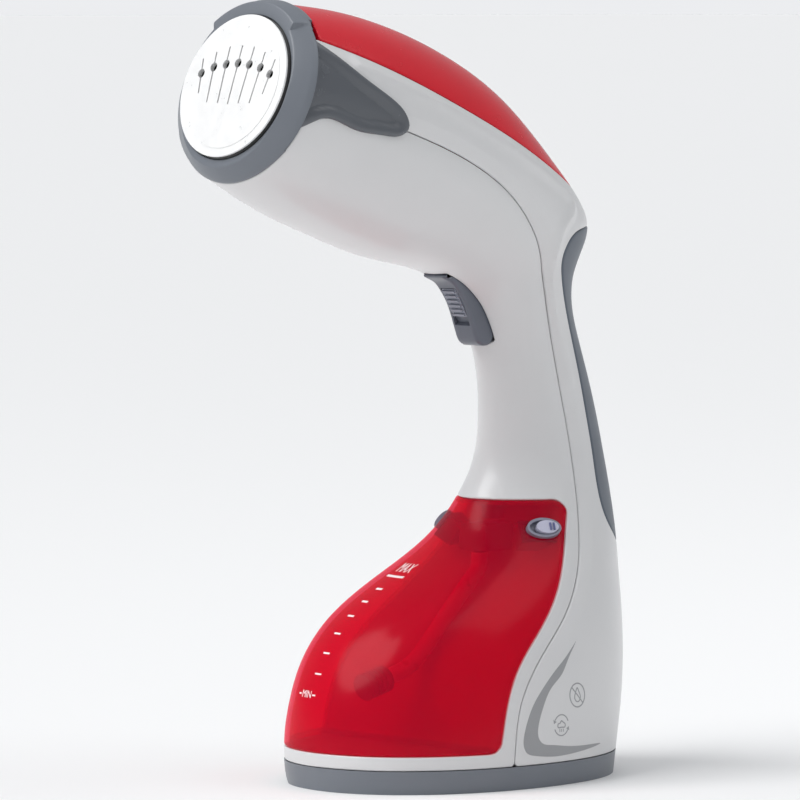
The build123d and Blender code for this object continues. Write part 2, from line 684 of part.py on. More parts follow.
def make_fill_plug():
    stem = rod((0, FILL_Y, TANK_TOP - 7.5), (0, FILL_Y, TANK_TOP - 2.4), FILL_RADIUS - RUNNING)
    flange = rod((0, FILL_Y, TANK_TOP - 2.5), (0, FILL_Y, TANK_TOP - 1.0), PLUG_FLANGE_RADIUS)
    tab = block((-4, 4), (FILL_Y - 0.8, FILL_Y + 0.8), (TANK_TOP - 1.1, TANK_TOP - 0.2))
    return stem + flange + tab


def make_outlet_valve(cavity):
    body = block((-7, 7), (11, 24.5), (83, 93)) & cavity
    spigot = rod((0, 24, SPIGOT_Z), (0, SPIGOT_END, SPIGOT_Z), SPIGOT_RADIUS - RUNNING)
    drop = rod((0, DROP_Y, 83.1), (0, DROP_Y, 77.5), BARB_RADIUS)
    bore = rod((0, DROP_Y, SPIGOT_Z), (0, SPIGOT_END, SPIGOT_Z), 1.6)
    return body + spigot + drop - bore - rod((0, DROP_Y, SPIGOT_Z), (0, DROP_Y, 76), WATER_BORE)


pickup_route = [
    (0, DROP_Y, 82), (0, DROP_Y, 76.5), (0, -1.5, 60.5),
    (0, -16, 45.5), (0, -23, 41), (0, -33.0, 38.5),
]


def make_pickup_tube():
    return hose(pickup_route, TUBE_OUTER, TUBE_INNER)


def make_pickup_filter():
    end = Vector(*pickup_route[-1])
    along = (end - Vector(*pickup_route[-2])).normalized()
    barb = rod(end - along * 4, end + along * 1, BARB_RADIUS)
    barrel = rod(end + along * 0.2, end + along * 11, 5.0)
    drilled = rod(end - along * 5, end + along * 8, WATER_BORE)
    shape = barb + barrel - drilled
    for step in range(3):
        groove = rod(end + along * (3 + 2.4 * step), end + along * (3.9 + 2.4 * step), 5.1)
        groove -= rod(end, end + along * 12, 4.3)
        shape -= groove
    return shape


def latch_bezel():
    bezel = oval(BEZEL_LENGTH, BEZEL_HEIGHT, -BEZEL_DEPTH, 0.8)
    bezel -= oval(BEZEL_LENGTH - 2 * DISH_MARGIN, BEZEL_HEIGHT - 2 * DISH_MARGIN, -1.2, 1.0)
    bezel -= Pos(0, 0, -2) * Box(6.2, 2.8, 3)
    return latch_frame * bezel


def latch_slider():
    pad = Pos(PAD_PLACE, 0, 0) * oval(PAD_LENGTH, PAD_HEIGHT, -1.0, 1.5)
    for place in (2.2, 3.5):
        pad += Pos(place, 0, 1.6) * Box(0.6, 2.8, 0.5)
    stem = Pos(PAD_PLACE, 0, -3.2) * Box(2.4, 2.2, 4.6)
    return latch_frame * (pad + stem + tongue())


def latch_spring():
    frame = latch_frame.location
    start = (frame * Pos(-7.0, 0, TONGUE_DEPTH)).position
    end = (frame * Pos(TONGUE_START - 0.1, 0, TONGUE_DEPTH)).position
    return coil_spring(start, end, 1.5, 0.25, 5)


def latch_pocket(cavity):
    box = Box(20, 9, 9) - Pos(0, 0, 1.2) * Box(17.6, 6.6, 9)
    placed = latch_frame * (Pos(1.5, 0, -4.7) * box)
    placed -= tongue_holes()
    placed -= latch_frame * oval(BEZEL_LENGTH + 0.1, BEZEL_HEIGHT + 0.1, -BEZEL_DEPTH - 0.1, 4)
    return (placed & cavity).solids().sort_by(SortBy.VOLUME)[-1]


# ---------------------------------------------------------------- water path inside the body

COUPLING_Y = 40.5
PUMP_Y = 42.0
PUMP_INLET_Z = 16.0
PUMP_TUBE_RADIUS = 7.0
PISTON_RADIUS = 4.0
MOUNT_RADIUS = 10.0
mount_heights = [(20.5, 24.5), (54, 58)]


def make_bay_seal():
    ring_body = rod((0, 29.5, SPIGOT_Z), (0, 35.9, SPIGOT_Z), SEAL_RADIUS - 0.1) - tank_region(GAP)
    return ring_body - rod((0, 20, SPIGOT_Z), (0, 40, SPIGOT_Z), SPIGOT_RADIUS + RUNNING)


def make_inlet_coupling():
    body = rod((0, 36.0, SPIGOT_Z), (0, 43, SPIGOT_Z), 6.4)
    body -= rod((0, 35, SPIGOT_Z), (0, 40, SPIGOT_Z), SPIGOT_RADIUS + 0.3)
    barb = rod((6, COUPLING_Y, SPIGOT_Z), (15, COUPLING_Y, SPIGOT_Z), BARB_RADIUS)
    return body + barb - rod((0, COUPLING_Y, SPIGOT_Z), (16, COUPLING_Y, SPIGOT_Z), WATER_BORE)


inlet_route = [
    (8.5, COUPLING_Y, SPIGOT_Z), (25, COUPLING_Y, SPIGOT_Z), (25, PUMP_Y, 70),
    (25, PUMP_Y, PUMP_INLET_Z), (8, PUMP_Y, PUMP_INLET_Z),
]
outlet_route = [
    (0, PUMP_Y, 63.5), (0, PUMP_Y, 76), (-12.5, 47, 84), (-12.5, 48, 98), (-10.5, 48, 118),
    (-9.5, 45, 145), (-9, 39, 172), (-8, 29, 198), (-5, 11, 219), (-2, -12, 232),
    (0, -34, 239.9), (0, -52, 246.2), (0, -72.5, 253.4),
]


def make_pump_housing():
    tube = rod((0, PUMP_Y, 12), (0, PUMP_Y, 62), PUMP_TUBE_RADIUS)
    tube += rod((5, PUMP_Y, PUMP_INLET_Z), (15, PUMP_Y, PUMP_INLET_Z), BARB_RADIUS)
    tube += rod((0, PUMP_Y, 61), (0, PUMP_Y, 70), BARB_RADIUS)
    tube -= rod((0, PUMP_Y, 24), (0, PUMP_Y, 56), PISTON_RADIUS + RUNNING)
    tube -= rod((0, PUMP_Y, 55), (0, PUMP_Y, 72), WATER_BORE)
    tube -= rod((0, PUMP_Y, PUMP_INLET_Z - 1), (0, PUMP_Y, 25), WATER_BORE)
    return tube - rod((0, PUMP_Y, PUMP_INLET_Z), (16, PUMP_Y, PUMP_INLET_Z), WATER_BORE)


def make_pump_coil():
    coil = block((-13, 13), (PUMP_Y - 14, PUMP_Y + 14), (29, 49))
    coil += block((-14, 14), (PUMP_Y - 15, PUMP_Y + 15), (27, 29.5))
    coil += block((-14, 14), (PUMP_Y - 15, PUMP_Y + 15), (48.5, 51))
    coil += block((-3, 3), (PUMP_Y + 15, PUMP_Y + 17), (48.5, 58))
    return coil - rod((0, PUMP_Y, 20), (0, PUMP_Y, 60), PUMP_TUBE_RADIUS)


def make_pump_yoke():
    yoke = block((-9, 9), (PUMP_Y - 17, PUMP_Y + 17), (25, 53))
    yoke -= block((-10, 10), (PUMP_Y - 15, PUMP_Y + 15), (27, 51))
    yoke -= block((-4, 4), (PUMP_Y + 14, PUMP_Y + 18), (47, 60))
    return yoke - rod((0, PUMP_Y, 20), (0, PUMP_Y, 60), PUMP_TUBE_RADIUS)


def make_pump_mounts():
    rings = []
    for low, high in mount_heights:
        mount = rod((0, PUMP_Y, low), (0, PUMP_Y, high), MOUNT_RADIUS)
        mount -= rod((0, PUMP_Y, low), (0, PUMP_Y, high), PUMP_TUBE_RADIUS)
        rings.append(mount.solid())
    return Compound(children=rings)


def make_pump_cradle():
    cradle = block((-9, 9), (21.8, 23.8), (FOOT_FLOOR, 58))
    cradle += block((-12, 12), (21.8, 34), (FOOT_FLOOR, 5.0))
    for low, high in mount_heights:
        cradle += block((-12, 12), (21.8, PUMP_Y), (low, high))
    cradle -= rod((0, PUMP_Y, 10), (0, PUMP_Y, 70), MOUNT_RADIUS)
    return cradle - tank_region(GAP + 2.6)


def make_pump_piston():
    return rod((0, PUMP_Y, 28), (0, PUMP_Y, 48), PISTON_RADIUS) - rod((0, PUMP_Y, 27), (0, PUMP_Y, 49), 1.5)


def make_pump_spring():
    return coil_spring((0, PUMP_Y, 48.1), (0, PUMP_Y, 55.9), 3.0, 0.35, 5)


def make_cord_gland():
    gland = rod((0, 60.5, CORD_Z), (0, 73.2, CORD_Z), GLAND_RADIUS)
    gland += rod((0, 71.0, CORD_Z), (0, 73.8, CORD_Z), GLAND_RADIUS + 2) - inner - outer
    return gland - rod((0, 50, CORD_Z), (0, 80, CORD_Z), GLAND_BORE)


def make_cord_clamp():
    clamp = block((-12, 12), (62, 67), (CORD_Z - 12, CORD_Z - GLAND_RADIUS))
    return clamp & envelope(WALL + 0.2)


def make_circuit_board():
    board = block((-17, 17), (61, 62.6), (64, 95))
    board += block((-14, -4), (55, 61.2), (70, 84))
    board += rod((8, 61.2, 78), (8, 52, 78), 4)
    board += block((-8, 2), (57, 61.2), (87, 92))
    for x in (-14.5, 14.5):
        board -= rod((x, 60, 92.5), (x, 64, 92.5), 1.2)
    return board


def make_terminal_block():
    block_body = block((-6, 18), (54, 62), (12, 24))
    for step in range(3):
        x = -2 + 8 * step
        block_body -= rod((x, 50, 18), (x, 60, 18), 2.2)
    return block_body


loom_route = [
    (14, 60, 24.3), (14, 60, 33), (20, 60, 46), (21, 57, 64), (20, 54, 84), (14, 51, 104), (10, 50, 124),
    (9.5, 45, 148), (9.5, 38, 174), (9, 28, 198), (7, 8, 216), (6, -18, 226.5),
    (6, -40, 232.5), (5.5, -58, 238.5),
]


def make_wiring_loom():
    return hose(loom_route, 2.4, 0.8)


# ---------------------------------------------------------------- write every node

cavity = tank_hollow()
right_pocket = latch_pocket(cavity)

nodes = {
    "front_shell": make_front_shell(),
    "rear_shell": make_rear_shell(),
    "top_cover": make_top_cover(),
    "rear_grip": make_rear_grip(),
    "base_foot": make_base_foot(),
    "foot_screws": make_foot_screws(),
    "shell_screw": make_shell_screw(),
    "nozzle_collar": make_nozzle_collar(),
    "steam_plate": make_steam_plate(),
    "plate_gasket": make_plate_gasket(),
    "boiler_body": make_boiler_body(),
    "heating_element": make_heating_element(),
    "boiler_carrier": make_boiler_carrier(),
    "boiler_screws": make_boiler_screws(),
    "thermostat": make_thermostat(),
    "thermal_fuse": make_thermal_fuse(),
    "trigger": make_trigger(),
    "steam_lock": make_steam_lock(),
    "trigger_pin": make_trigger_pin(),
    "trigger_spring": make_trigger_spring(),
    "micro_switch": make_micro_switch(),
    "switch_plunger": make_switch_plunger(),
    "tank_shell": make_tank_shell(cavity),
    "tank_floor": make_tank_floor(),
    "fill_plug": make_fill_plug(),
    "outlet_valve": make_outlet_valve(cavity),
    "pickup_tube": make_pickup_tube(),
    "pickup_filter": make_pickup_filter(),
    "latch_bezel_right": latch_bezel(),
    "latch_bezel_left": mirrored(latch_bezel()),
    "latch_slider_right": latch_slider(),
    "latch_slider_left": mirrored(latch_slider()),
    "latch_spring_right": latch_spring(),
    "latch_spring_left": mirrored(latch_spring()),
    "latch_pockets": Compound(children=[right_pocket, mirrored(right_pocket).solid()]),
    "bay_seal": make_bay_seal(),
    "inlet_coupling": make_inlet_coupling(),
    "inlet_hose": hose(inlet_route, HOSE_OUTER, HOSE_INNER),
    "outlet_hose": hose(outlet_route, HOSE_OUTER, HOSE_INNER),
    "pump_housing": make_pump_housing(),
    "pump_coil": make_pump_coil(),
    "pump_yoke": make_pump_yoke(),
    "pump_mounts": make_pump_mounts(),
    "pump_cradle": make_pump_cradle(),
    "pump_piston": make_pump_piston(),
    "pump_spring": make_pump_spring(),
    "cord_gland": make_cord_gland(),
    "cord_clamp": make_cord_clamp(),
    "circuit_board": make_circuit_board(),
    "terminal_block": make_terminal_block(),
    "wiring_loom": make_wiring_loom(),
}

for name, shape in nodes.items():
    save(name, shape)
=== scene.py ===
import math

import bmesh
import bpy
import numpy as np
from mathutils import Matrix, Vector
from mathutils.bvhtree import BVHTree


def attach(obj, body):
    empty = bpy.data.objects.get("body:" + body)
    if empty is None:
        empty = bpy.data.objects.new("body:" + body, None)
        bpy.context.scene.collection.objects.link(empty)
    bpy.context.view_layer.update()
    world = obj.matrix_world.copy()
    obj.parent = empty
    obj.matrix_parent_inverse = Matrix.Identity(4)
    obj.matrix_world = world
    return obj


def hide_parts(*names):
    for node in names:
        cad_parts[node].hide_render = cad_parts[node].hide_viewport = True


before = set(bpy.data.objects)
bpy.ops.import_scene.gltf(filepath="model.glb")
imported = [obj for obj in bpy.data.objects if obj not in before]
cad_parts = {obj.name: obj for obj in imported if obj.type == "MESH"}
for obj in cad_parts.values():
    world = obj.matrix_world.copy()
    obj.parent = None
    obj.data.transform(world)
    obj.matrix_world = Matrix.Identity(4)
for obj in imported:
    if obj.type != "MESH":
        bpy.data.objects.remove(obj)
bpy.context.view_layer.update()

MM = 0.001                   # lengths below are in millimetres unless they say metres


# ---------------------------------------------------------------- materials


class Nodes:
    """A material with its nodes, and short ways to add the common ones."""

    def __init__(self, name, color, roughness, **values):
        self.material = bpy.data.materials.new(name)
        self.material.use_nodes = True
        self.tree = self.material.node_tree
        self.shader = self.tree.nodes["Principled BSDF"]
        self.shader.inputs["Base Color"].default_value = (*color, 1)
        self.shader.inputs["Roughness"].default_value = roughness
        for key, value in values.items():
            socket = self.shader.inputs[key.replace("_", " ")]
            socket.default_value = value
        self.coordinates = self.tree.nodes.new("ShaderNodeTexCoord").outputs["Object"]

    def node(self, kind, **inputs):
        made = self.tree.nodes.new(kind)
        for key, value in inputs.items():
            socket = made.inputs[key.replace("_", " ")]
            if isinstance(value, bpy.types.NodeSocket):
                self.tree.links.new(value, socket)
            else:
                socket.default_value = value
        return made

    def noise(self, scale, detail=3.0, rough=0.55):
        made = self.node("ShaderNodeTexNoise", Vector=self.coordinates, Scale=scale, Detail=detail,
                         Roughness=rough)
        return made.outputs["Fac"]

    def spread(self, value, low, high, from_low=0.0, from_high=1.0):
        made = self.node("ShaderNodeMapRange", Value=value)
        made.inputs["From Min"].default_value = from_low
        made.inputs["From Max"].default_value = from_high
        made.inputs["To Min"].default_value = low
        made.inputs["To Max"].default_value = high
        return made.outputs["Result"]

    def colors(self, value, *stops):
        made = self.node("ShaderNodeValToRGB", Fac=value)
        ramp = made.color_ramp
        ramp.elements[0].position, ramp.elements[0].color = stops[0][0], (*stops[0][1], 1)
        ramp.elements[1].position, ramp.elements[1].color = stops[-1][0], (*stops[-1][1], 1)
        for place, color in stops[1:-1]:
            ramp.elements.new(place).color = (*color, 1)
        return made.outputs["Color"]

    def bump(self, height, strength, distance, below=None):
        made = self.node("ShaderNodeBump", Height=height, Strength=strength, Distance=distance)
        if below is not None:
            self.tree.links.new(below, made.inputs["Normal"])
        self.tree.links.new(made.outputs["Normal"], self.shader.inputs["Normal"])
        return made.outputs["Normal"]

    def link(self, output, name):
        self.tree.links.new(output, self.shader.inputs[name])


def scaled(color, share):
    return tuple(part * share for part in color)


def moulded(name, color, roughness, grain=2600, grain_depth=0.00001, tint=0.03, **values):
    """Injection-moulded plastic: fine grain, slow colour drift, and patchy gloss."""
    made = Nodes(name, color, roughness, **values)
    drift = made.noise(35, 4)
    made.link(made.colors(drift, (0.3, scaled(color, 1 - tint)), (0.7, color)), "Base Color")
    patch = made.noise(90, 5, 0.6)
    made.link(made.spread(patch, roughness * 0.92, roughness * 1.1, 0.2, 0.8), "Roughness")
    made.bump(made.noise(grain, 2), 0.3, grain_depth)
    return made.material


def soft_rubber(name, color, roughness=0.62):
    """Matt rubber with a fine pebbled surface."""
    made = Nodes(name, color, roughness)
    made.shader.inputs["Sheen Weight"].default_value = 0.25
    made.shader.inputs["Sheen Roughness"].default_value = 0.5
    drift = made.noise(60, 5)
    made.link(made.colors(drift, (0.3, scaled(color, 0.85)), (0.7, color)), "Base Color")
    cells = made.node("ShaderNodeTexVoronoi", Vector=made.coordinates, Scale=1600.0)
    first = made.bump(cells.outputs["Distance"], 0.35, 0.00003)
    made.bump(made.noise(700, 4), 0.2, 0.00003, first)
    return made.material


def metal(name, color, roughness, scale=900, depth=0.000006, metallic=1.0):
    """Metal or a metallic coat, with a fine uneven surface and a slow colour drift."""
    made = Nodes(name, color, roughness, Metallic=metallic)
    lines = made.noise(scale, 4, 0.65)
    made.link(made.spread(lines, roughness * 0.7, roughness * 1.4, 0.25, 0.75), "Roughness")
    drift = made.noise(40, 5)
    made.link(made.colors(drift, (0.3, scaled(color, 0.92)), (0.75, color)), "Base Color")
    made.bump(lines, 0.25, depth)
    return made.material


def clear_plastic(name, color, roughness, transmission, tint_depth, clear_share=0.0, clear_tint=(1, 1, 1)):
    """See-through plastic. clear_share is how much of it is looked straight through."""
    made = Nodes(name, color, roughness, IOR=1.46)
    made.shader.inputs["Transmission Weight"].default_value = transmission
    made.shader.inputs["Specular IOR Level"].default_value = 0.35
    made.shader.inputs["Coat Weight"].default_value = 0.1
    made.shader.inputs["Coat Roughness"].default_value = 0.3
    flow = made.noise(18, 3)
    made.link(made.colors(flow, (0.3, scaled(color, 1 - tint_depth)), (0.7, color)), "Base Color")
    made.link(made.spread(made.noise(60, 5), roughness * 0.6, roughness * 1.6, 0.3, 0.7), "Roughness")
    made.bump(made.noise(240, 3), 0.15, 0.00002)
    if clear_share:
        through = made.node("ShaderNodeBsdfTransparent", Color=(*clear_tint, 1))
        mixed = made.node("ShaderNodeMixShader", Fac=clear_share)
        made.tree.links.new(made.shader.outputs["BSDF"], mixed.inputs[1])
        made.tree.links.new(through.outputs["BSDF"], mixed.inputs[2])
        output = made.tree.nodes["Material Output"]
        made.tree.links.new(mixed.outputs["Shader"], output.inputs["Surface"])
    return made.material


WHITE = moulded("white_abs", (0.63, 0.63, 0.635), 0.3, tint=0.02, Coat_Weight=0.2, Coat_Roughness=0.1)
RED = moulded("red_abs", (0.62, 0.003, 0.016), 0.26, tint=0.06, Specular_IOR_Level=0.3)
GREY = moulded("grey_abs", (0.150, 0.165, 0.190), 0.36, grain=1900, grain_depth=0.00003)
WING = moulded("grey_wing", (0.090, 0.098, 0.112), 0.26, grain=1900, grain_depth=0.00002)
GRIP = soft_rubber("grip_rubber", (0.10, 0.12, 0.15))
TANK = clear_plastic("tank_red", (0.72, 0.003, 0.05), 0.16, 0.0, 0.12, 0.72, (1.0, 0.20, 0.30))
PLATE = metal("polished_plate", (0.95, 0.95, 0.945), 0.34, scale=260, depth=0.000001, metallic=0.25)
BUTTON = moulded("lilac_button", (0.46, 0.46, 0.58), 0.3)
BUTTON_MARK = moulded("button_mark", (0.08, 0.09, 0.22), 0.35)
BEZEL = moulded("lilac_bezel", (0.20, 0.20, 0.26), 0.32)
TRIGGER = moulded("trigger_grey", (0.11, 0.12, 0.15), 0.33, grain=1900, grain_depth=0.00003)
RIBS = moulded("rib_grey", (0.24, 0.25, 0.30), 0.35)
BLACK = soft_rubber("black_seal", (0.02, 0.02, 0.022))
INK = moulded("grey_ink", (0.30, 0.305, 0.315), 0.4, grain=900)
WHITE_INK = moulded("white_ink", (0.88, 0.80, 0.80), 0.4, grain=900)

# ---------------------------------------------------------------- the body's form

# Cross-sections from the foot up to the head. Each has its front and back points in side view, its
# half width, and how square its front and back halves are: 2 is an ellipse, more is squarer.
STATIONS = [
    ((-66.0, 0.0), (67.0, 0.0), 48.5, 2.15, 2.15),
    ((-67.5, 12.0), (68.5, 12.0), 49.7, 2.15, 2.15),
    ((-66.0, 29.0), (71.3, 29.0), 49.3, 2.1, 2.15),
    ((-60.5, 44.0), (72.8, 44.0), 47.5, 2.1, 2.15),
    ((-49.5, 58.5), (74.0, 58.5), 44.0, 2.05, 2.1),
    ((-27.5, 73.0), (74.0, 73.0), 38.0, 2.0, 2.1),
    ((-2.0, 87.5), (73.7, 87.5), 31.5, 2.0, 2.1),
    ((10.8, 102.0), (73.0, 102.0), 26.0, 1.9, 2.1),
    ((16.8, 117.0), (71.3, 117.0), 21.6, 1.75, 2.1),
    ((18.0, 131.5), (68.3, 131.5), 19.6, 1.7, 2.1),
    ((17.3, 146.0), (64.0, 146.0), 18.7, 1.7, 2.1),
    ((14.5, 158.0), (59.0, 160.0), 18.6, 1.7, 2.1),
    ((10.8, 168.0), (54.3, 175.5), 20.0, 1.75, 2.1),
    ((7.0, 174.0), (54.8, 187.0), 22.0, 1.8, 2.1),
    ((3.0, 178.0), (58.8, 196.5), 24.0, 1.85, 2.1),
    ((0.0, 180.5), (60.5, 204.0), 26.0, 1.9, 2.1),
    ((-3.5, 182.8), (56.0, 213.0), 28.0, 1.95, 2.1),
    ((-10.0, 185.5), (44.0, 226.0), 30.0, 2.0, 2.05),
    ((-21.5, 188.5), (19.0, 248.8), 33.0, 2.0, 2.0),
    ((-43.0, 192.9), (-8.0, 265.3), 35.0, 2.0, 2.0),
    ((-64.0, 199.8), (-34.5, 275.6), 35.7, 2.0, 2.0),
    ((-83.0, 206.8), (-59.0, 281.6), 35.5, 2.0, 2.0),
    ((-97.5, 213.5), (-74.0, 283.6), 34.8, 2.0, 2.0),
    ((-110.7, 220.7), (-88.1, 284.9), 33.8, 2.0, 2.0),
]
RING_POINTS = 16
INSET = 0.12                 # keeps every panel just inside the CAD surface
SLOPE_STEP = 0.002           # half the span, in stations or points, that a slope is measured over


def spline_weights(knots, samples, closed=False):
    """Matrix that turns values at the knots into cubic-spline values at the samples."""
    knots = np.asarray(knots, float)
    samples = np.asarray(samples, float)
    count = len(knots) - 1 if closed else len(knots)
    steps = np.diff(knots)
    left = np.zeros((count, count))
    right = np.zeros((count, count))
    for row in range(count):
        if closed or 0 < row < count - 1:
            before, after = steps[row - 1], steps[row]
            previous, following = (row - 1) % count, (row + 1) % count
            left[row, previous] += before
            left[row, row] += 2 * (before + after)
            left[row, following] += after
            right[row, previous] += 6 / before
            right[row, row] -= 6 / before + 6 / after
            right[row, following] += 6 / after
        else:
            left[row, row] = 1
    curvature = np.linalg.solve(left, right)
    cell = np.clip(np.searchsorted(knots, samples, side="right") - 1, 0, len(steps) - 1)
    width = steps[cell]
    far_share = (samples - knots[cell]) / width
    near_share = 1 - far_share
    weights = np.zeros((len(samples), count))
    rows = np.arange(len(samples))
    following = (cell + 1) % count
    np.add.at(weights, (rows, cell), near_share)
    np.add.at(weights, (rows, following), far_share)
    weights += ((near_share**3 - near_share) * width**2 / 6)[:, None] * curvature[cell]
    weights += ((far_share**3 - far_share) * width**2 / 6)[:, None] * curvature[following]
    return weights


def signed_power(values, power):
    """A power of each value's size that keeps the value's sign."""
    return np.sign(values) * np.abs(values) ** power


def ring_points(station, inset):
    """Points round one cross-section, drawn in by inset."""
    (front_y, front_z), (back_y, back_z), half_width, front_square, back_square = station
    angle = 2 * math.pi * np.arange(RING_POINTS) / RING_POINTS
    depth, side = -np.cos(angle), np.sin(angle)
    power = 2 / np.where(depth < 0, front_square, back_square)
    depth, side = signed_power(depth, power), signed_power(side, power)
    line = np.array([back_y - front_y, back_z - front_z])
    length = np.linalg.norm(line)
    along = line / length
    half_depth = length / 2 - inset
    points = np.zeros((RING_POINTS, 3))
    points[:, 0] = side * (half_width - inset)
    points[:, 1] = (front_y + back_y) / 2 + along[0] * depth * half_depth
    points[:, 2] = (front_z + back_z) / 2 + along[1] * depth * half_depth
    return points


def body_surface(rows, columns, inset=INSET):
    """Points and outward normals of the body. Rows are counted in stations, columns in ring points."""
    rings = np.array([ring_points(station, inset) for station in STATIONS])
    around = np.zeros(RING_POINTS + 1)
    looped = np.concatenate([rings, rings[:, :1]], axis=1)
    around[1:] = np.cumsum(np.linalg.norm(np.diff(looped, axis=1), axis=2).mean(axis=0))
    upward = np.zeros(len(STATIONS))
    upward[1:] = np.cumsum(np.linalg.norm(np.diff(rings, axis=0), axis=2).mean(axis=1))

    def evaluate(row_places, column_places):
        u = np.interp(row_places, np.arange(len(upward)), upward)
        v = np.interp(np.mod(column_places, RING_POINTS), np.arange(RING_POINTS + 1), around)
        over_rows = spline_weights(upward, u)
        over_columns = spline_weights(around, v, closed=True)
        return np.einsum("ri,ijk,cj->rck", over_rows, rings, over_columns)

    points = evaluate(rows, columns)
    low = np.maximum(rows - SLOPE_STEP, 0)
    high = np.minimum(rows + SLOPE_STEP, len(STATIONS) - 1)
    along_rows = evaluate(high, columns) - evaluate(low, columns)
    along_columns = evaluate(rows, columns + SLOPE_STEP) - evaluate(rows, columns - SLOPE_STEP)
    normals = np.cross(along_columns, along_rows)
    normals /= np.linalg.norm(normals, axis=2)[:, :, None]
    return points, normals


# ---------------------------------------------------------------- side-view lines and areas

FAR = 150.0                  # a distance past any part of the object
TANK_TOP = 102.0
TANK_BOTTOM = 14.0
FOOT_HEIGHT = 8.5
COLLAR_END = 9.0
PLATE_CENTRE = np.array([0, -107.0, 255.5])
HEAD_PITCH = math.radians(19.4)
HEAD_OUT = np.array([0, -math.cos(HEAD_PITCH), math.sin(HEAD_PITCH)])
HEAD_UP = np.array([0, math.sin(HEAD_PITCH), math.cos(HEAD_PITCH)])
SEAM = [
    (-120, 257.5), (-89, 249), (-54, 238.7), (-14, 223.5), (7, 209.7), (20, 194.5),
    (28.5, 178), (34.5, 161), (40, 137), (42.3, 120), (40.5, 101), (33, 80),
    (16, 60), (-2, 43.5), (-11, 29), (-13.7, 16), (-13.9, 0),
]
TANK_BACK = [
    (33.6, 97.5), (28.3, 86.9), (17.8, 71.4), (-0.2, 53.9), (-10.3, 43.1), (-16.3, 30.9), (-19.6, 18),
]
COVER_EDGE = [(56, 212.6), (28.9, 224.4), (2.7, 235.8), (-32.7, 250.8), (-64, 263.2), (-95, 273.5)]
GRIP_EDGE = [
    (80, 77.5), (62.9, 86), (54.5, 95), (53, 106), (53.6, 118), (52.4, 130), (48, 152.6),
    (41.2, 172.5), (35.2, 185), (33.4, 193), (36.6, 198.4), (46.5, 201.5), (62, 203.2),
]
WING_EDGE = [
    (-104, 280), (-94, 273), (-87, 268), (-72.5, 257.5), (-61.5, 250.5), (-55.2, 244),
    (-54.6, 240), (-58, 237.4), (-66, 237.4), (-80, 239.6), (-95, 243.6), (-106, 240),
]


def hermite(start, end, start_pull, end_pull, count=16):
    """A smooth side-view corner between two points with the given end directions."""
    t = np.linspace(0, 1, count)[:, None]
    start, end = np.array(start, float), np.array(end, float)
    start_pull, end_pull = np.array(start_pull, float), np.array(end_pull, float)
    return (
        (2 * t**3 - 3 * t**2 + 1) * start + (t**3 - 2 * t**2 + t) * start_pull
        + (3 * t**2 - 2 * t**3) * end + (t**3 - t**2) * end_pull
    )


def smooth_line(points, count=160, closed=False):
    """A cubic spline through side-view points."""
    points = np.array(points, float)
    looped = np.vstack([points, points[:1]]) if closed else points
    knots = np.concatenate([[0], np.cumsum(np.linalg.norm(np.diff(looped, axis=0), axis=1))])
    samples = np.linspace(0, knots[-1], count, endpoint=not closed)
    return spline_weights(knots, samples, closed) @ points


def signed_distance(points, area):
    """Distance of side-view points to an area's outline, positive inside it."""
    nearest = np.full(len(points), np.inf)
    inside = np.zeros(len(points), bool)
    for start, end in zip(area, np.roll(area, -1, axis=0)):
        line = end - start
        length = line @ line
        if length == 0:
            continue
        share = np.clip(((points - start) @ line) / length, 0, 1)
        nearest = np.minimum(nearest, np.linalg.norm(points - start - share[:, None] * line, axis=1))
        if start[1] != end[1]:
            crosses = (start[1] > points[:, 1]) != (end[1] > points[:, 1])
            at = start[0] + (points[:, 1] - start[1]) / (end[1] - start[1]) * line[0]
            inside ^= crosses & (points[:, 0] < at)
    return np.where(inside, nearest, -nearest)


tank_outline = np.vstack([
    hermite((29.6, TANK_TOP), TANK_BACK[0], (6.5, 0), (-2.2, -6.0)),
    smooth_line(TANK_BACK)[1:],
    hermite(TANK_BACK[-1], (-24.0, TANK_BOTTOM), (-0.6, -6.0), (-6.5, 0))[1:],
])
FRONT_AREA = np.vstack([smooth_line(SEAM), [(-13.9, -5), (-FAR, -5), (-FAR, SEAM[0][1])]])
TANK_AREA = np.vstack([tank_outline, [(-FAR, TANK_BOTTOM), (-FAR, TANK_TOP)]])
COVER_AREA = np.vstack([smooth_line(COVER_EDGE), [(-FAR, 2 * FAR), (FAR, 2 * FAR)]])
GRIP_AREA = np.vstack([smooth_line(GRIP_EDGE), [(FAR, GRIP_EDGE[-1][1]), (FAR, GRIP_EDGE[0][1])]])
WING_AREA = smooth_line(WING_EDGE, closed=True)
TRIGGER_AREA = np.array([
    (-9.7, 185.2), (-1.5, 188.3), (6.5, 189.3), (13.1, 185.3), (17.7, 177.4), (17.7, 166),
    (17.2, 161.1), (13.5, 158.2), (8.5, 159.0), (-8, 172), (-12, 182),
])


def within(points, area, grow=0.0):
    """How far points are inside an area seen from the side, once it has grown by grow."""
    return signed_distance(points[:, 1:], area) + grow


def behind_collar(points, depth=COLLAR_END):
    """How far points are behind the plane at a depth behind the steam plate."""
    return (points - PLATE_CENTRE) @ -HEAD_OUT - depth


# ---------------------------------------------------------------- panels cut from the body's surface


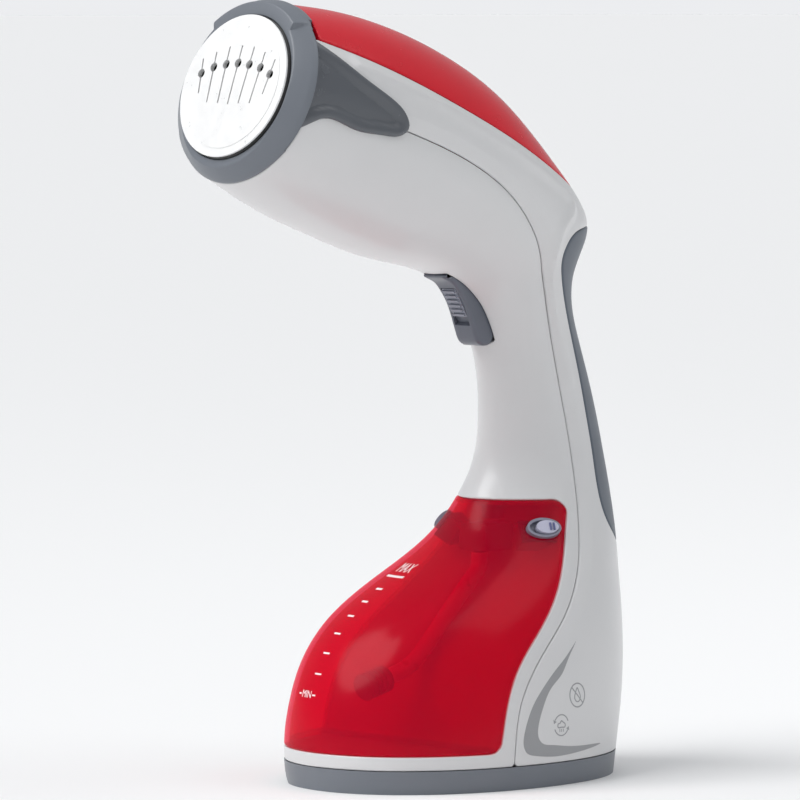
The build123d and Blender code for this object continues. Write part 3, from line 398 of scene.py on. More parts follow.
def split_faces(state, faces, level):
    """Splits faces along the line where the cut value equals level."""
    values = state["value"]
    cache = {}
    result = []
    for face in faces:
        relative = [values[i] - level for i in face]
        if min(relative) >= 0 or max(relative) <= 0:
            result.append(face)
            continue
        above, below = [], []
        for place, first in enumerate(face):
            second = face[(place + 1) % len(face)]
            a, b = relative[place], relative[(place + 1) % len(face)]
            if a >= 0:
                above.append(first)
            if a <= 0:
                below.append(first)
            if a * b < 0:
                key = (min(first, second), max(first, second))
                if key not in cache:
                    share = a / (a - b)
                    for name in ("point", "normal"):
                        made = state[name][first] * (1 - share) + state[name][second] * share
                        state[name].append(made)
                    values.append(level)
                    cache[key] = len(values) - 1
                above.append(cache[key])
                below.append(cache[key])
        for part in (above, below):
            if len(part) > 2:
                result.append(part)
    return result


def mesh_object(name, points, faces, material, body, replaced=(), sharp=35):
    """A mesh in millimetres made into a piece of the object."""
    mesh = bpy.data.meshes.new(name)
    mesh.from_pydata([tuple(float(value) * MM for value in point) for point in points], [], faces)
    mesh.update()
    cleaned = bmesh.new()
    cleaned.from_mesh(mesh)
    loose = [point for point in cleaned.verts if not point.link_faces]
    bmesh.ops.delete(cleaned, geom=loose, context="VERTS")
    bmesh.ops.remove_doubles(cleaned, verts=cleaned.verts, dist=1e-6)
    bmesh.ops.dissolve_degenerate(cleaned, dist=1e-7, edges=cleaned.edges)
    bmesh.ops.recalc_face_normals(cleaned, faces=cleaned.faces)
    cleaned.to_mesh(mesh)
    cleaned.free()
    mesh.polygons.foreach_set("use_smooth", [True] * len(mesh.polygons))
    mesh.set_sharp_from_angle(angle=math.radians(sharp))
    mesh.materials.append(material)
    piece = bpy.data.objects.new(name, mesh)
    bpy.context.scene.collection.objects.link(piece)
    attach(piece, body)
    if replaced:
        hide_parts(*replaced)
    return piece


EDGE_LOOPS = (0.02, 0.15, 0.45, 1.0)      # where a panel's rounded edge gets rows of points


def closed_shell(faces, size):
    """The faces, the walls round their open edges and the faces on the far side.

    The far side's points follow the near side's points, and each side has size points.
    """
    directed = {(face[k], face[(k + 1) % len(face)]) for face in faces for k in range(len(face))}
    walls = [[b, a, a + size, b + size] for a, b in directed if (b, a) not in directed]
    far_side = [[i + size for i in reversed(face)] for face in faces]
    return [list(face) for face in faces] + sorted(walls) + far_side


def panel_mesh(cut_value, thickness, edge, rows, columns, relief=None, creases=(), inset=INSET):
    """A closed panel of the body's surface where cut_value is positive, with rounded edges."""
    points, normals = body_surface(rows, columns, inset)
    count = points.shape[1]
    flat_points = points.reshape(-1, 3)
    values = cut_value(flat_points)
    state = {"point": list(flat_points), "normal": list(normals.reshape(-1, 3)), "value": list(values)}
    inside = (values > 0).reshape(points.shape[:2])
    wraps = abs(columns[-1] - columns[0] + (columns[1] - columns[0]) - RING_POINTS) < 1e-6
    faces = []
    for row in range(points.shape[0] - 1):
        for column in range(count if wraps else count - 1):
            following = (column + 1) % count
            if inside[row:row + 2, [column, following]].any():
                near, far = row * count, (row + 1) * count
                faces.append([near + column, near + following, far + following, far + column])
    faces = split_faces(state, faces, 0.0)
    faces = [face for face in faces if max(state["value"][i] for i in face) > 1e-9]
    for level in [share * edge for share in EDGE_LOOPS] + list(creases):
        faces = split_faces(state, faces, level)
    used = sorted({i for face in faces for i in face})
    renumber = {old: new for new, old in enumerate(used)}
    faces = [[renumber[i] for i in face] for face in faces]
    point = np.array([state["point"][i] for i in used])
    normal = np.array([state["normal"][i] for i in used])
    value = np.clip(np.array([state["value"][i] for i in used]), 0, None)
    normal /= np.linalg.norm(normal, axis=1)[:, None]
    near = np.clip(edge - value, 0, edge)
    sink = edge - np.sqrt(np.clip(edge**2 - near**2, 0, None))
    lift = relief(point, value) if relief is not None else 0.0
    outer = point - normal * sink[:, None] + normal * np.reshape(lift, (-1, 1))
    inner = point - normal * thickness
    return np.vstack([outer, inner]), closed_shell(faces, len(point))


LAST_ROW = len(STATIONS) - 1
ROW_COUNT = 300
COLUMN_COUNT = 176
all_rows = np.linspace(0, LAST_ROW, ROW_COUNT)
all_columns = np.arange(COLUMN_COUNT) * RING_POINTS / COLUMN_COUNT


def panel(name, cut_value, material, thickness=2.0, edge=0.5, rows=all_rows, columns=all_columns,
          relief=None, creases=(), body="body", replaced=(), inset=INSET):
    """A piece that is a panel of the body's surface."""
    points, faces = panel_mesh(cut_value, thickness, edge, rows, columns, relief, creases, inset)
    return mesh_object(name, points, faces, material, body, replaced)


def lowest(*values):
    return np.minimum.reduce(values)


def shell_value(points):
    """What both shells keep clear of: the wings they pass under, the collar and the foot."""
    above_foot = points[:, 2] - FOOT_HEIGHT - FOOT_GAP
    return lowest(-within(points, WING_AREA, -WING_LAP), behind_collar(points), above_foot)


def slot_value(points):
    """Negative inside the trigger's opening."""
    side = SLOT_HALF_WIDTH - np.abs(points[:, 0])
    return -np.minimum(within(points, TRIGGER_AREA), side)


def front_value(points):
    tank_side = -within(points, TANK_AREA, TANK_GAP)
    return lowest(shell_value(points), within(points, FRONT_AREA), tank_side, slot_value(points))


def rear_value(points):
    seam_side = -within(points, FRONT_AREA, SEAM_GAP)
    cover_side = -within(points, COVER_AREA, SEAM_GAP)
    return lowest(shell_value(points), seam_side, cover_side, -within(points, GRIP_AREA, GRIP_GAP))


def cover_value(points):
    return lowest(within(points, COVER_AREA), behind_collar(points, COVER_START))


def grip_value(points):
    return within(points, GRIP_AREA, -GRIP_DRAW)


SEAM_GAP = 0.25
TANK_GAP = 0.3
FOOT_GAP = 0.15
GRIP_GAP = 0.15
GRIP_DRAW = 0.1              # how far the grip's edge is drawn in
WING_LAP = 1.9               # how far the shells reach under the wings
SLOT_HALF_WIDTH = 6.4
COVER_START = 11.2           # depth behind the steam plate
SEAM_DEPTH = 1.3             # how deep the valley along the parting line is
SEAM_SPREAD = 9.0            # how far the valley reaches into the front shell
CREST = 6.0                  # distance from the parting line to the rear shell's crest
CREST_ROUNDING = 0.25
RIDGE = smooth_line([
    (-75, 262.5), (-30, 245.5), (2, 231.5), (24, 221), (35, 214.8), (38.6, 210.6), (36, 206.6),
    (31, 202.8), (28.6, 197), (28.2, 190), (30.2, 182), (34, 172), (38.5, 160), (43, 145),
], 120)
RIDGE_HEIGHT = 1.1           # how far the ridge stands above the surface round it
RIDGE_SPREAD = 4.0           # how far each side of its line the ridge reaches


def seam_fade(point):
    """The valley is there along the head and the handle and dies out at the foot."""
    return np.clip((point[:, 2] - 20) / 70, 0, 1)


def front_relief(point, value):
    """How far the front shell stands off the body's plain surface."""
    share = np.clip(within(point, FRONT_AREA) / SEAM_SPREAD, 0, 1)
    return -SEAM_DEPTH * seam_fade(point) * (1 - share) ** 2


def rear_relief(point, value):
    """How far the rear shell stands off the body's plain surface."""
    share = np.clip(-within(point, FRONT_AREA) / CREST, 0, 1)
    near_ridge = np.clip(1 + within(point, np.vstack([RIDGE, RIDGE[::-1]])) / RIDGE_SPREAD, 0, 1)
    return RIDGE_HEIGHT * near_ridge**1.5 - SEAM_DEPTH * seam_fade(point) * (1 - share)


panel("front_shell_skin", front_value, WHITE, relief=front_relief, replaced=["front_shell"])
panel("rear_shell_skin", rear_value, WHITE, relief=rear_relief, creases=(CREST - CREST_ROUNDING,),
      replaced=["rear_shell"])
panel("top_cover_skin", cover_value, RED, replaced=["top_cover"])
panel("rear_grip_skin", grip_value, GRIP, edge=1.0, replaced=["rear_grip"])

# ---------------------------------------------------------------- tank

LATCH_CENTRE = np.array([26.6, 21.9, 92.0])
LATCH_OUT = np.array([0.77, -0.345, 0.536])
LATCH_OUT /= np.linalg.norm(LATCH_OUT)
LATCH_ALONG = np.array([0.42, 0.905, -0.02])
LATCH_ALONG -= LATCH_OUT * (LATCH_ALONG @ LATCH_OUT)
LATCH_ALONG /= np.linalg.norm(LATCH_ALONG)
LATCH_UP = np.cross(LATCH_OUT, LATCH_ALONG)
LATCH_HALF = (6.6, 4.0)
TANK_WALL = 1.8


def latch_window(points):
    """Distance outside the oval window of the nearer latch."""
    offset = np.abs(points * [1, 0, 0]) + points * [0, 1, 1] - LATCH_CENTRE
    reach = np.hypot(offset @ LATCH_ALONG / LATCH_HALF[0], offset @ LATCH_UP / LATCH_HALF[1])
    return (reach - 1) * LATCH_HALF[1]


def tank_value(points):
    return lowest(within(points, TANK_AREA), latch_window(points))


panel("tank_skin", tank_value, TANK, thickness=TANK_WALL, edge=0.6, body="tank", replaced=["tank_shell"])

# ---------------------------------------------------------------- trigger

TRIGGER_OUTLINE = smooth_line([
    (-9, 185.0), (-5.2, 182.8), (-1.6, 180), (2.4, 174.5), (5.3, 168), (7.3, 162.7),
    (8.5, 160.4), (10.3, 159.0), (12.9, 158.6), (15.4, 159.4), (16.8, 161.8), (17, 166.0),
    (17, 172), (16.6, 177.5), (12.5, 184.3), (6.5, 188.4), (-1.5, 187.4), (-7.5, 186.2),
], 260, closed=True)
TRIGGER_HALF_WIDTH = 6.0
TRIGGER_ROUNDING = 1.8
LOCK_PLACE = np.array([1.65, 174.5])
LOCK_SLOPE = np.array([0.509, -0.861])
LOCK_OUT = np.array([LOCK_SLOPE[1], -LOCK_SLOPE[0]])
LOCK_REACH = (-6.3, 9.3)     # the slider's recess, along the finger face
LOCK_BAND = 2.6              # outline points this near the finger face's plane are in the recess
LOCK_SINK = 1.3
LOCK_RECESS_HALF_WIDTH = 3.9
LOCK_WALL = 0.01             # half the width that the recess's side walls lean over


def add_trigger():
    """The trigger's lever with rounded cheeks and a recess in its finger face for the lock slider."""
    outline = TRIGGER_OUTLINE
    ways = np.roll(outline, -1, axis=0) - np.roll(outline, 1, axis=0)
    ways /= np.linalg.norm(ways, axis=1)[:, None]
    outward = np.stack([ways[:, 1], -ways[:, 0]], axis=1)
    if within(np.insert(outline[:1] + outward[:1] * 0.5, 0, 0, axis=1), outline)[0] > 0:
        outward = -outward
    along = (outline - LOCK_PLACE) @ LOCK_SLOPE
    height = (outline - LOCK_PLACE) @ LOCK_OUT
    in_recess = (along > LOCK_REACH[0]) & (along < LOCK_REACH[1]) & (height > -LOCK_BAND)
    right = [(LOCK_RECESS_HALF_WIDTH - LOCK_WALL, 0.0, True)]
    right.append((LOCK_RECESS_HALF_WIDTH + LOCK_WALL, 0.0, False))
    for turn in np.linspace(0, math.pi / 2, 7):
        side_inset = TRIGGER_ROUNDING * (1 - math.sin(turn))
        right.append((TRIGGER_HALF_WIDTH - side_inset, TRIGGER_ROUNDING * (1 - math.cos(turn)), False))
    stations = [(-x, inset, recessed) for x, inset, recessed in reversed(right)] + right
    points = []
    for x, inset, recessed in stations:
        section = outline - outward * inset
        if recessed:
            sunk = LOCK_PLACE + along[:, None] * LOCK_SLOPE - LOCK_SINK * LOCK_OUT
            section = np.where(in_recess[:, None], sunk, section)
        points += [(x, y, z) for y, z in section]
    size = len(outline)
    faces = [list(range(size)), [len(points) - 1 - place for place in range(size)]]
    for station in range(len(stations) - 1):
        for place in range(size):
            after = (place + 1) % size
            first = station * size
            faces.append([first + place, first + size + place, first + size + after, first + after])
    return mesh_object("trigger_lever", points, faces, TRIGGER, "trigger", ["trigger"], sharp=28)


add_trigger()

# ---------------------------------------------------------------- steam head

COLLAR_STEPS = 480
SEAL_RADIUS = 27.1           # the collar's opening, round the plate's seal
# Radii of the collar at turns in degrees away from its top: its face's rim, its cone and its back.
COLLAR_FACE = ([0, 44, 60, 94, 124, 150, 180], [29.6, 29.6, 28.9, 27.7, 28.3, 29.6, 30.2])
COLLAR_CONE = ([0, 50, 94, 135, 180], [33.2, 33.3, 33.9, 33.2, 33.0])
COLLAR_BACK = ([0, 44, 60, 120, 140, 180], [34.4, 34.6, 35.0, 35.0, 34.1, 34.0])
HOOD_RADII = (32.2, 34.4, 35.0)           # the same three under the hood
HOOD_TURN = 41.0             # degrees each way from the top that the hood covers
HOOD_STEP = 2.5              # degrees over which the hood's side drops
HOOD_LENGTH = 10.9
HOOD_LENGTH_TURN = 37
WING_LENGTH = 8.1
WING_TURNS = (46, 128)
RING_LENGTH = 8.9
WING_DISH = 1.7
WING_RIM = 2.0               # width of the flat rim round a wing's dish
WING_SLOPE = 3.6             # width of the slope from the rim down to the dish
WING_STAND = 1.08            # how far the wings stand off the body's surface


def smoothed(share):
    """A share from 0 to 1 with both its ends eased."""
    return share * share * (3 - 2 * share)


def head_place(radius, turn, depth):
    """A point round the steam head: turn is measured from the top towards +X."""
    side = np.array([1.0, 0, 0])
    return PLATE_CENTRE + radius * (HEAD_UP * math.cos(turn) + side * math.sin(turn)) - HEAD_OUT * depth


def collar_profile(turn):
    """Radius and depth pairs of the collar's cross-section at one turn."""
    away = abs(math.degrees(math.atan2(math.sin(turn), math.cos(turn))))
    hood = smoothed(1 - np.clip((away - HOOD_TURN) / HOOD_STEP, 0, 1))
    radii = [float(np.interp(away, *table)) for table in (COLLAR_FACE, COLLAR_CONE, COLLAR_BACK)]
    face, cone, back = [radius + hood * (under - radius) for radius, under in zip(radii, HOOD_RADII)]
    end = RING_LENGTH
    if away < HOOD_LENGTH_TURN:
        end = HOOD_LENGTH
    elif WING_TURNS[0] < away < WING_TURNS[1]:
        end = WING_LENGTH
    opening = [(SEAL_RADIUS, end - 1.5), (SEAL_RADIUS, 2.7)]
    opening += [(SEAL_RADIUS + 0.1, 2.25), (SEAL_RADIUS + 0.4, 2.04)]
    front = [(face - 0.5, 2.0), (face - 0.1, 2.08), (face + 0.25, 2.35)]
    flank = [(cone - 0.4, 5.7), (cone + 0.1, 6.3), (back - 0.15, 7.6), (back, 8.0)]
    return opening + front + flank + [(back, end - 0.3), (back - 0.3, end), (back - 2.2, end)]


def add_collar():
    points, faces = [], []
    for step in range(COLLAR_STEPS):
        turn = 2 * math.pi * step / COLLAR_STEPS
        points += [head_place(radius, turn, depth) for radius, depth in collar_profile(turn)]
    size = len(points) // COLLAR_STEPS
    for step in range(COLLAR_STEPS):
        near, far = step * size, (step + 1) % COLLAR_STEPS * size
        for place in range(size):
            after = (place + 1) % size
            faces.append([near + place, far + place, far + after, near + after])
    return mesh_object("collar_ring", points, faces, GREY, "body", ["nozzle_collar"], sharp=32)


def wing_value(points):
    return within(points, WING_AREA)


def wing_relief(point, value):
    """The wings are dished along their middle."""
    return -WING_DISH * smoothed(np.clip((value - WING_RIM) / WING_SLOPE, 0, 1))


add_collar()
wing_rows = np.linspace(14, LAST_ROW, 260)
panel("collar_wings", wing_value, WING, thickness=1.6, edge=1.1, rows=wing_rows,
      relief=wing_relief, inset=-WING_STAND)

# ---------------------------------------------------------------- tank's back and the bay behind it

TANK_FRONT_TOP = (12.5, TANK_TOP)
TANK_FRONT_FOOT = (-64.5, TANK_BOTTOM)
WALL_STEP = 2.0              # spacing of a wall's rows along its line
LEAST_HALF_WIDTH = 0.5
WALL_COLUMNS = np.linspace(-1, 1, 25)     # shares of the half width
PLUG_Y = 21.5
PLUG_HOLE = 7.3
PLUG_SNAP = 1.0              # places this near the hole's rim are moved onto it
PLUG_REACH = 6.0             # how far below the tank's top the hole counts
PLUG_SLACK = 0.01            # places on the rim count as inside


def surface_tree(rows, columns):
    """The body's whole surface, ready for finding where a straight line meets it."""
    points, _ = body_surface(rows, columns)
    flat = [Vector(point) for point in points.reshape(-1, 3)]
    count = points.shape[1]
    faces = []
    for row in range(points.shape[0] - 1):
        for column in range(count):
            following = (column + 1) % count
            near, far = row * count, (row + 1) * count
            faces.append((near + column, near + following, far + following, far + column))
    return BVHTree.FromPolygons(flat, faces)


body_tree = surface_tree(all_rows, all_columns)


def from_plug(place):
    """Distance from the fill plug's axis, or a far one for places well below the plug."""
    return math.hypot(place[0], place[1] - PLUG_Y) if place[2] > TANK_TOP - PLUG_REACH else FAR


def clear_of_plug(x, y, z):
    """The place, or the nearest one on the rim of the fill plug's hole if it is close to that."""
    reach = from_plug((x, y, z))
    if abs(reach - PLUG_HOLE) > PLUG_SNAP:
        return (x, y, z)
    return (x * PLUG_HOLE / reach, PLUG_Y + (y - PLUG_Y) * PLUG_HOLE / reach, z)


def add_tank_line_wall(name, line, depths, side_gap, material, body):
    """A wall that follows the tank's outline at two depths behind it, with a hole round the fill plug."""
    fine = [line[0]]
    for start, end in zip(line, line[1:]):
        count = max(1, int(np.linalg.norm(end - start) / WALL_STEP))
        fine += [start + (end - start) * (step + 1) / count for step in range(count)]
    line = np.array(fine)
    ways = np.gradient(line, axis=0)
    ways /= np.linalg.norm(ways, axis=1)[:, None]
    outward = np.stack([-ways[:, 1], ways[:, 0]], axis=1)
    outer, inner = [], []
    for place, way in zip(line, outward):
        for depth, side in zip(depths, (outer, inner)):
            y, z = place + way * depth
            hit, _, _, _ = body_tree.ray_cast(Vector((FAR, y, z)), Vector((-1, 0, 0)))
            half_width = LEAST_HALF_WIDTH if hit is None else max(hit.x - side_gap, LEAST_HALF_WIDTH)
            side += [clear_of_plug(share * half_width, y, z) for share in WALL_COLUMNS]
    width = len(WALL_COLUMNS)
    faces = []
    for row in range(len(line) - 1):
        for column in range(width - 1):
            first = row * width + column
            face = [first, first + 1, first + width + 1, first + width]
            if any(from_plug(outer[place]) > PLUG_HOLE + PLUG_SLACK for place in face):
                faces.append(face)
    return mesh_object(name, outer + inner, closed_shell(faces, len(outer)), material, body)


top_and_back = np.vstack([[TANK_FRONT_TOP], tank_outline])
whole_bay = np.vstack([top_and_back, [TANK_FRONT_FOOT]])
add_tank_line_wall("bay_wall", whole_bay, (0.45, 1.9), 0.9, WHITE, "body")
add_tank_line_wall("tank_back", top_and_back, (-0.3, -1.9), 1.0, TANK, "tank")

# ---------------------------------------------------------------- printed marks


def print_mark(name, flat_points, faces, view, material, body, lift=0.05, depth=0.15):
    """A thin printed patch laid on the surface. Its flat points are seen from the front or from a side."""
    outer, inner = [], []
    for across, up in flat_points:
        if view == "front":
            start, way = Vector((across, -FAR, up)), Vector((0, 1, 0))
        else:
            start, way = Vector((view * FAR, across, up)), Vector((-view, 0, 0))
        place, normal, _, _ = body_tree.ray_cast(start, way)
        if normal.dot(way) > 0:
            normal = -normal
        outer.append(place + normal * lift)
        inner.append(place - normal * depth)
    return mesh_object(name, outer + inner, closed_shell(faces, len(outer)), material, body)


def stroke(line, width, closed=False):
    """A flat band along a line: its points and faces."""
    line = np.array(line, float)
    if closed:
        ways = np.roll(line, -1, axis=0) - np.roll(line, 1, axis=0)
    else:
        ways = np.gradient(line, axis=0)
    ways /= np.linalg.norm(ways, axis=1)[:, None]
    side = np.stack([-ways[:, 1], ways[:, 0]], axis=1) * width / 2
    points = np.vstack([line + side, line - side])
    count = len(line)
    faces = []
    for place in range(count if closed else count - 1):
        after = (place + 1) % count
        faces.append([place, after, after + count, place + count])
    return points, faces


def joined(*shapes):
    """Several flat shapes as one: their points and faces."""
    points, faces = [], []
    for more_points, more_faces in shapes:
        faces += [[i + len(points) for i in face] for face in more_faces]
        points += [tuple(point) for point in more_points]
    return points, faces


def lettering(text, size, centre):
    """Flat letters of generic words: their points and faces."""
    curve = bpy.data.curves.new("letters", "FONT")
    curve.body = text
    curve.size = size
    curve.align_x, curve.align_y = "CENTER", "CENTER"
    curve.resolution_u = 4
    holder = bpy.data.objects.new("letters", curve)
    mesh = bpy.data.meshes.new_from_object(holder)
    points = [(vertex.co.x + centre[0], vertex.co.y + centre[1]) for vertex in mesh.vertices]
    faces = [list(polygon.vertices) for polygon in mesh.polygons]
    bpy.data.objects.remove(holder)
    bpy.data.curves.remove(curve)
    bpy.data.meshes.remove(mesh)
    return points, faces


MAX_HEIGHT = 74.9
MIN_HEIGHT = 34.2
LEVEL_HEIGHTS = (70.8, 66.6, 61.8, 55.8, 49.0, 41.7)


def level_line(low_x, high_x, height, width=0.55):
    """A level line on the tank, from one x to another."""
    return stroke([(x, height) for x in np.linspace(low_x, high_x, 10)], width)


marks = [level_line(-11, 0, MAX_HEIGHT, 0.6), lettering("MAX", 4.0, (-4.9, MAX_HEIGHT + 2.7))]
marks += [lettering("MIN", 3.6, (-9, MIN_HEIGHT))]
marks += [level_line(-14.6, -12.9, MIN_HEIGHT), level_line(-5.2, -3.4, MIN_HEIGHT)]
marks += [level_line(-7.2, -3.4, height) for height in LEVEL_HEIGHTS]
print_mark("level_marks", *joined(*marks), "front", WHITE_INK, "tank")

SIDES = {1: "right", -1: "left"}
SWOOSH = [
    (34, 13.3), (12.9, 14.2), (3.2, 15.4), (-1.2, 16.4), (-2.9, 18.4), (-2.8, 23.1), (0.1, 29.8),
    (4.2, 35.7), (10.5, 40.6), (15.2, 46.4), (20.9, 52.4), (14.3, 47.2), (7.1, 42), (0.8, 36.6),
    (-4.7, 30.5), (-7.9, 24.9), (-9.7, 20), (-10.1, 16.4), (-8.6, 13.3), (-4.8, 12),
    (3.3, 11.1), (13.1, 11.2),
]


SWOOSH_AREA = smooth_line(SWOOSH, 200, closed=True)
SWOOSH_COLUMNS = {1: 2.0, -1: 9.0}        # where each side's part of the body starts


def swoosh_value(points):
    return within(points, SWOOSH_AREA)


for side, first_column in SWOOSH_COLUMNS.items():
    panel(f"swoosh_{SIDES[side]}", swoosh_value, INK, thickness=0.2, edge=0.04, inset=INSET - 0.05,
          rows=np.linspace(0.5, 4.4, 220), columns=np.linspace(first_column, first_column + 5, 260))


def circle(centre, radius, count=48, start=0.0, end=360.0):
    """Points along a circle or along part of one, in degrees."""
    angles = np.radians(np.linspace(start, end, count, endpoint=end - start < 360))
    return [(centre[0] + radius * math.cos(a), centre[1] + radius * math.sin(a)) for a in angles]


def drop_icon(centre, radius):
    """A crossed-out drop in a ring."""
    y, z = centre
    drop = [(0, 0.62), (0.2, 0.3), (0.36, 0.0), (0.38, -0.25), (0.22, -0.48), (0, -0.56),
            (-0.22, -0.48), (-0.38, -0.25), (-0.36, 0.0), (-0.2, 0.3)]
    outline = smooth_line([(y + radius * a, z + radius * b) for a, b in drop], 40, closed=True)
    slash = [(y - 0.7 * radius, z + 0.7 * radius), (y, z), (y + 0.7 * radius, z - 0.7 * radius)]
    return joined(stroke(circle(centre, radius), 0.5, True), stroke(outline, 0.45, True), stroke(slash, 0.5))


def steam_icon(centre, radius):
    """A steam cloud inside two turning arrows."""
    y, z = centre
    cloud = [(-0.5, -0.15), (-0.45, 0.15), (-0.2, 0.2), (0, 0.42),
             (0.28, 0.25), (0.5, 0.1), (0.5, -0.15), (0, -0.2)]
    outline = smooth_line([(y + radius * a, z + radius * b) for a, b in cloud], 40, closed=True)
    shapes = [stroke(outline, 0.45, True)]
    for start in (20, 200):
        shapes.append(stroke(circle(centre, radius, 24, start, start + 130), 0.45))
        end = math.radians(start + 132)
        outward = np.array([math.cos(end), math.sin(end)])
        onward = np.array([-math.sin(end), math.cos(end)])
        tip = np.array([y, z]) + radius * outward
        shapes.append(([tip + 0.9 * outward, tip - 0.9 * outward, tip + 1.3 * onward], [[0, 1, 2]]))
    for place in (-0.25, 0.0, 0.25):
        puff = [(y + radius * place, z - radius * (0.35 + 0.1 * step)) for step in range(4)]
        shapes.append(stroke(puff, 0.35))
    return joined(*shapes)


for side, word in SIDES.items():
    print_mark(f"drop_icon_{word}", *drop_icon((18.3, 32.4), 4.3), side, INK, "body")
    print_mark(f"steam_icon_{word}", *steam_icon((8.8, 22.2), 3.8), side, INK, "body")

# ---------------------------------------------------------------- CAD pieces that keep their shape

STEEL = metal("bright_steel", (0.62, 0.62, 0.63), 0.28)
CAST = metal("coated_cast_alloy", (0.035, 0.035, 0.037), 0.6, scale=300, depth=0.00004, metallic=0.4)
SILICONE = clear_plastic("silicone", (0.86, 0.83, 0.78), 0.35, 0.35, 0.1)
INNER = moulded("inner_plastic", (0.62, 0.61, 0.57), 0.45)
DARK = moulded("dark_plastic", (0.03, 0.03, 0.035), 0.4)
BOARD = moulded("board", (0.02, 0.13, 0.05), 0.35)
TANK_PART = moulded("tank_part", (0.10, 0.006, 0.012), 0.4)

# Each node's material and how far its edges are rounded.
LOOKS = {
    "base_foot": (GREY, 0.7), "steam_plate": (PLATE, 0.12), "plate_gasket": (BLACK, 0.2),
    "steam_lock": (RIBS, 0.25), "tank_floor": (TANK, 0),
    "latch_bezel_right": (BEZEL, 0.3), "latch_bezel_left": (BEZEL, 0.3),
    "latch_slider_right": (BUTTON, 0.25), "latch_slider_left": (BUTTON, 0.25),
    "fill_plug": (BLACK, 0.3), "outlet_valve": (TANK_PART, 0.3), "pickup_tube": (SILICONE, 0),
    "pickup_filter": (TANK_PART, 0.2), "latch_pockets": (TANK_PART, 0.2), "cord_gland": (GRIP, 0.3),
    "foot_screws": (STEEL, 0.1), "shell_screw": (STEEL, 0.1), "boiler_screws": (STEEL, 0.1),
    "trigger_pin": (STEEL, 0.1), "trigger_spring": (STEEL, 0), "pump_spring": (STEEL, 0),
    "latch_spring_right": (STEEL, 0), "latch_spring_left": (STEEL, 0),
    "boiler_body": (CAST, 0.4), "heating_element": (STEEL, 0), "boiler_carrier": (INNER, 0.3),
    "thermostat": (STEEL, 0.2), "thermal_fuse": (STEEL, 0), "micro_switch": (DARK, 0.2),
    "switch_plunger": (BUTTON, 0.2), "bay_seal": (BLACK, 0.2), "inlet_coupling": (INNER, 0.2),
    "inlet_hose": (SILICONE, 0), "outlet_hose": (SILICONE, 0), "pump_housing": (INNER, 0.3),
    "pump_coil": (DARK, 0.3), "pump_yoke": (STEEL, 0.2), "pump_mounts": (BLACK, 0.3),
    "pump_cradle": (INNER, 0.3), "pump_piston": (STEEL, 0.2), "cord_clamp": (INNER, 0.3),
    "circuit_board": (BOARD, 0.2), "terminal_block": (INNER, 0.3), "wiring_loom": (DARK, 0),
}
ROUNDING_ANGLE = math.radians(50)         # edges sharper than this are rounded
BAR_PLACES = (2.2, 3.5)      # along the latch, from its centre
BAR_HALF_WIDTH = 0.34
BAR_HALF_LENGTH = 1.45
BAR_HEIGHTS = (1.3, 1.92)    # the bars' foot and top, out from the latch's centre
CORNERS = ((-1, -1), (1, -1), (1, 1), (-1, 1))
BOX_FACES = [(0, 3, 2, 1), (4, 5, 6, 7), (0, 1, 5, 4), (1, 2, 6, 5), (2, 3, 7, 6), (3, 0, 4, 7)]


def add_latch_bars(side):
    """Two raised bars on a latch's thumb pad."""
    points, faces = [], []
    for place in BAR_PLACES:
        first = len(points)
        for high in BAR_HEIGHTS:
            for across, up in CORNERS:
                along = LATCH_ALONG * (place + BAR_HALF_WIDTH * across)
                local = along + LATCH_UP * BAR_HALF_LENGTH * up + LATCH_OUT * high
                points.append((LATCH_CENTRE + local) * [side, 1, 1])
        faces += [[first + corner for corner in face] for face in BOX_FACES]
    return mesh_object(f"latch_bars_{SIDES[side]}", points, faces, BUTTON_MARK, f"latch_{SIDES[side]}")


for side in SIDES:
    add_latch_bars(side)

for node, (material, edge) in LOOKS.items():
    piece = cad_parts[node]
    for place in piece.material_slots:
        place.material = material
    if not piece.material_slots:
        piece.data.materials.append(material)
    if edge:
        rounding = piece.modifiers.new("rounding", "BEVEL")
        rounding.width = edge * MM
        rounding.segments = 3
        rounding.limit_method = "ANGLE"
        rounding.angle_limit = ROUNDING_ANGLE
        rounding.harden_normals = False

# ---------------------------------------------------------------- stage, light and camera


FLOOR_REACH = 80.0           # metres each way, so that its edge is out of sight
SENSOR_WIDTH = 36.0


def toward(azimuth, elevation):
    """The direction to a place seen at an azimuth from the object's front, and an elevation, in degrees."""
    turn, tilt = math.radians(azimuth), math.radians(elevation)
    return Vector((math.sin(turn) * math.cos(tilt), -math.cos(turn) * math.cos(tilt), math.sin(tilt)))


def add_floor():
    mesh = bpy.data.meshes.new("floor")
    corners = [(FLOOR_REACH * x, FLOOR_REACH * y, 0) for x, y in CORNERS]
    mesh.from_pydata(corners, [], [(0, 1, 2, 3)])
    floor = bpy.data.objects.new("floor", mesh)
    bpy.context.scene.collection.objects.link(floor)
    mesh.materials.append(Nodes("floor_paint", (0.9, 0.9, 0.9), 0.6).material)


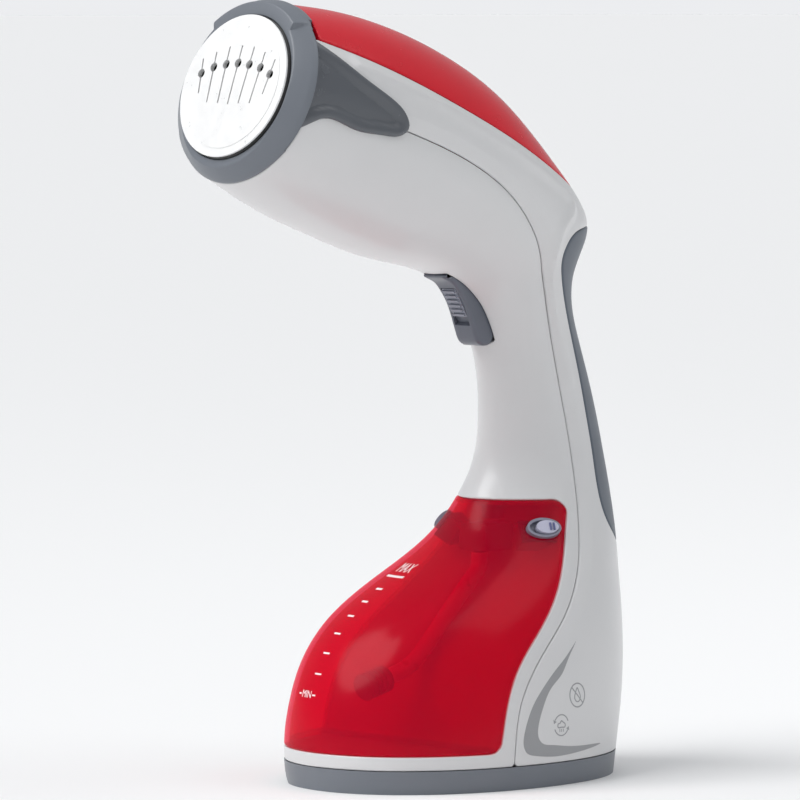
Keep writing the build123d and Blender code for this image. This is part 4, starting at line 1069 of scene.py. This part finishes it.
def add_backdrop():
    """An even pale surround that is brighter at the horizon than above it."""
    world = bpy.data.worlds.new("studio")
    world.use_nodes = True
    sky = world.node_tree
    height = sky.nodes.new("ShaderNodeSeparateXYZ")
    direction = sky.nodes.new("ShaderNodeTexCoord").outputs["Generated"]
    sky.links.new(direction, height.inputs["Vector"])
    fade = sky.nodes.new("ShaderNodeValToRGB")
    horizon, above = fade.color_ramp.elements
    horizon.position, horizon.color = 0.015, (0.84, 0.85, 0.87, 1)
    above.position, above.color = 0.14, (0.46, 0.47, 0.485, 1)
    sky.links.new(height.outputs["Z"], fade.inputs["Fac"])
    sky.links.new(fade.outputs["Color"], sky.nodes["Background"].inputs["Color"])
    bpy.context.scene.world = world


def add_soft_box(name, place, size, power, target):
    """A square light, with places and sizes in metres."""
    data = bpy.data.lights.new(name, "AREA")
    data.shape = "RECTANGLE"
    data.size = data.size_y = size
    data.energy = power
    lamp = bpy.data.objects.new(name, data)
    lamp.location = place
    lamp.rotation_euler = (Vector(target) - Vector(place)).to_track_quat("-Z", "Y").to_euler()
    bpy.context.scene.collection.objects.link(lamp)


def add_sun(azimuth, elevation, power, spread):
    """Even light over the whole floor, from a broad source far away."""
    data = bpy.data.lights.new("sun", "SUN")
    data.energy = power
    data.angle = spread
    lamp = bpy.data.objects.new("sun", data)
    lamp.rotation_euler = toward(azimuth, elevation).to_track_quat("Z", "Y").to_euler()
    bpy.context.scene.collection.objects.link(lamp)


def add_camera(azimuth, elevation, distance, target, lens):
    """A camera at a distance in metres from its target, with a long lens."""
    back = toward(azimuth, elevation)
    data = bpy.data.cameras.new("camera")
    data.lens = lens
    data.sensor_width = SENSOR_WIDTH
    data.clip_start = 0.05
    camera = bpy.data.objects.new("camera", data)
    camera.location = Vector(target) + back * distance
    camera.rotation_euler = back.to_track_quat("Z", "Y").to_euler()
    bpy.context.scene.collection.objects.link(camera)
    bpy.context.scene.camera = camera


add_floor()
add_backdrop()
bpy.context.scene.view_settings.view_transform = "Standard"
add_sun(azimuth=-22, elevation=50, power=2.2, spread=0.8)
add_soft_box("top", place=(0.7, 0.6, 1.6), size=1.2, power=6, target=(0, 0, 0.14))
add_camera(azimuth=47, elevation=3.5, distance=2.4, target=(0, -0.0255, 0.140), lens=296)
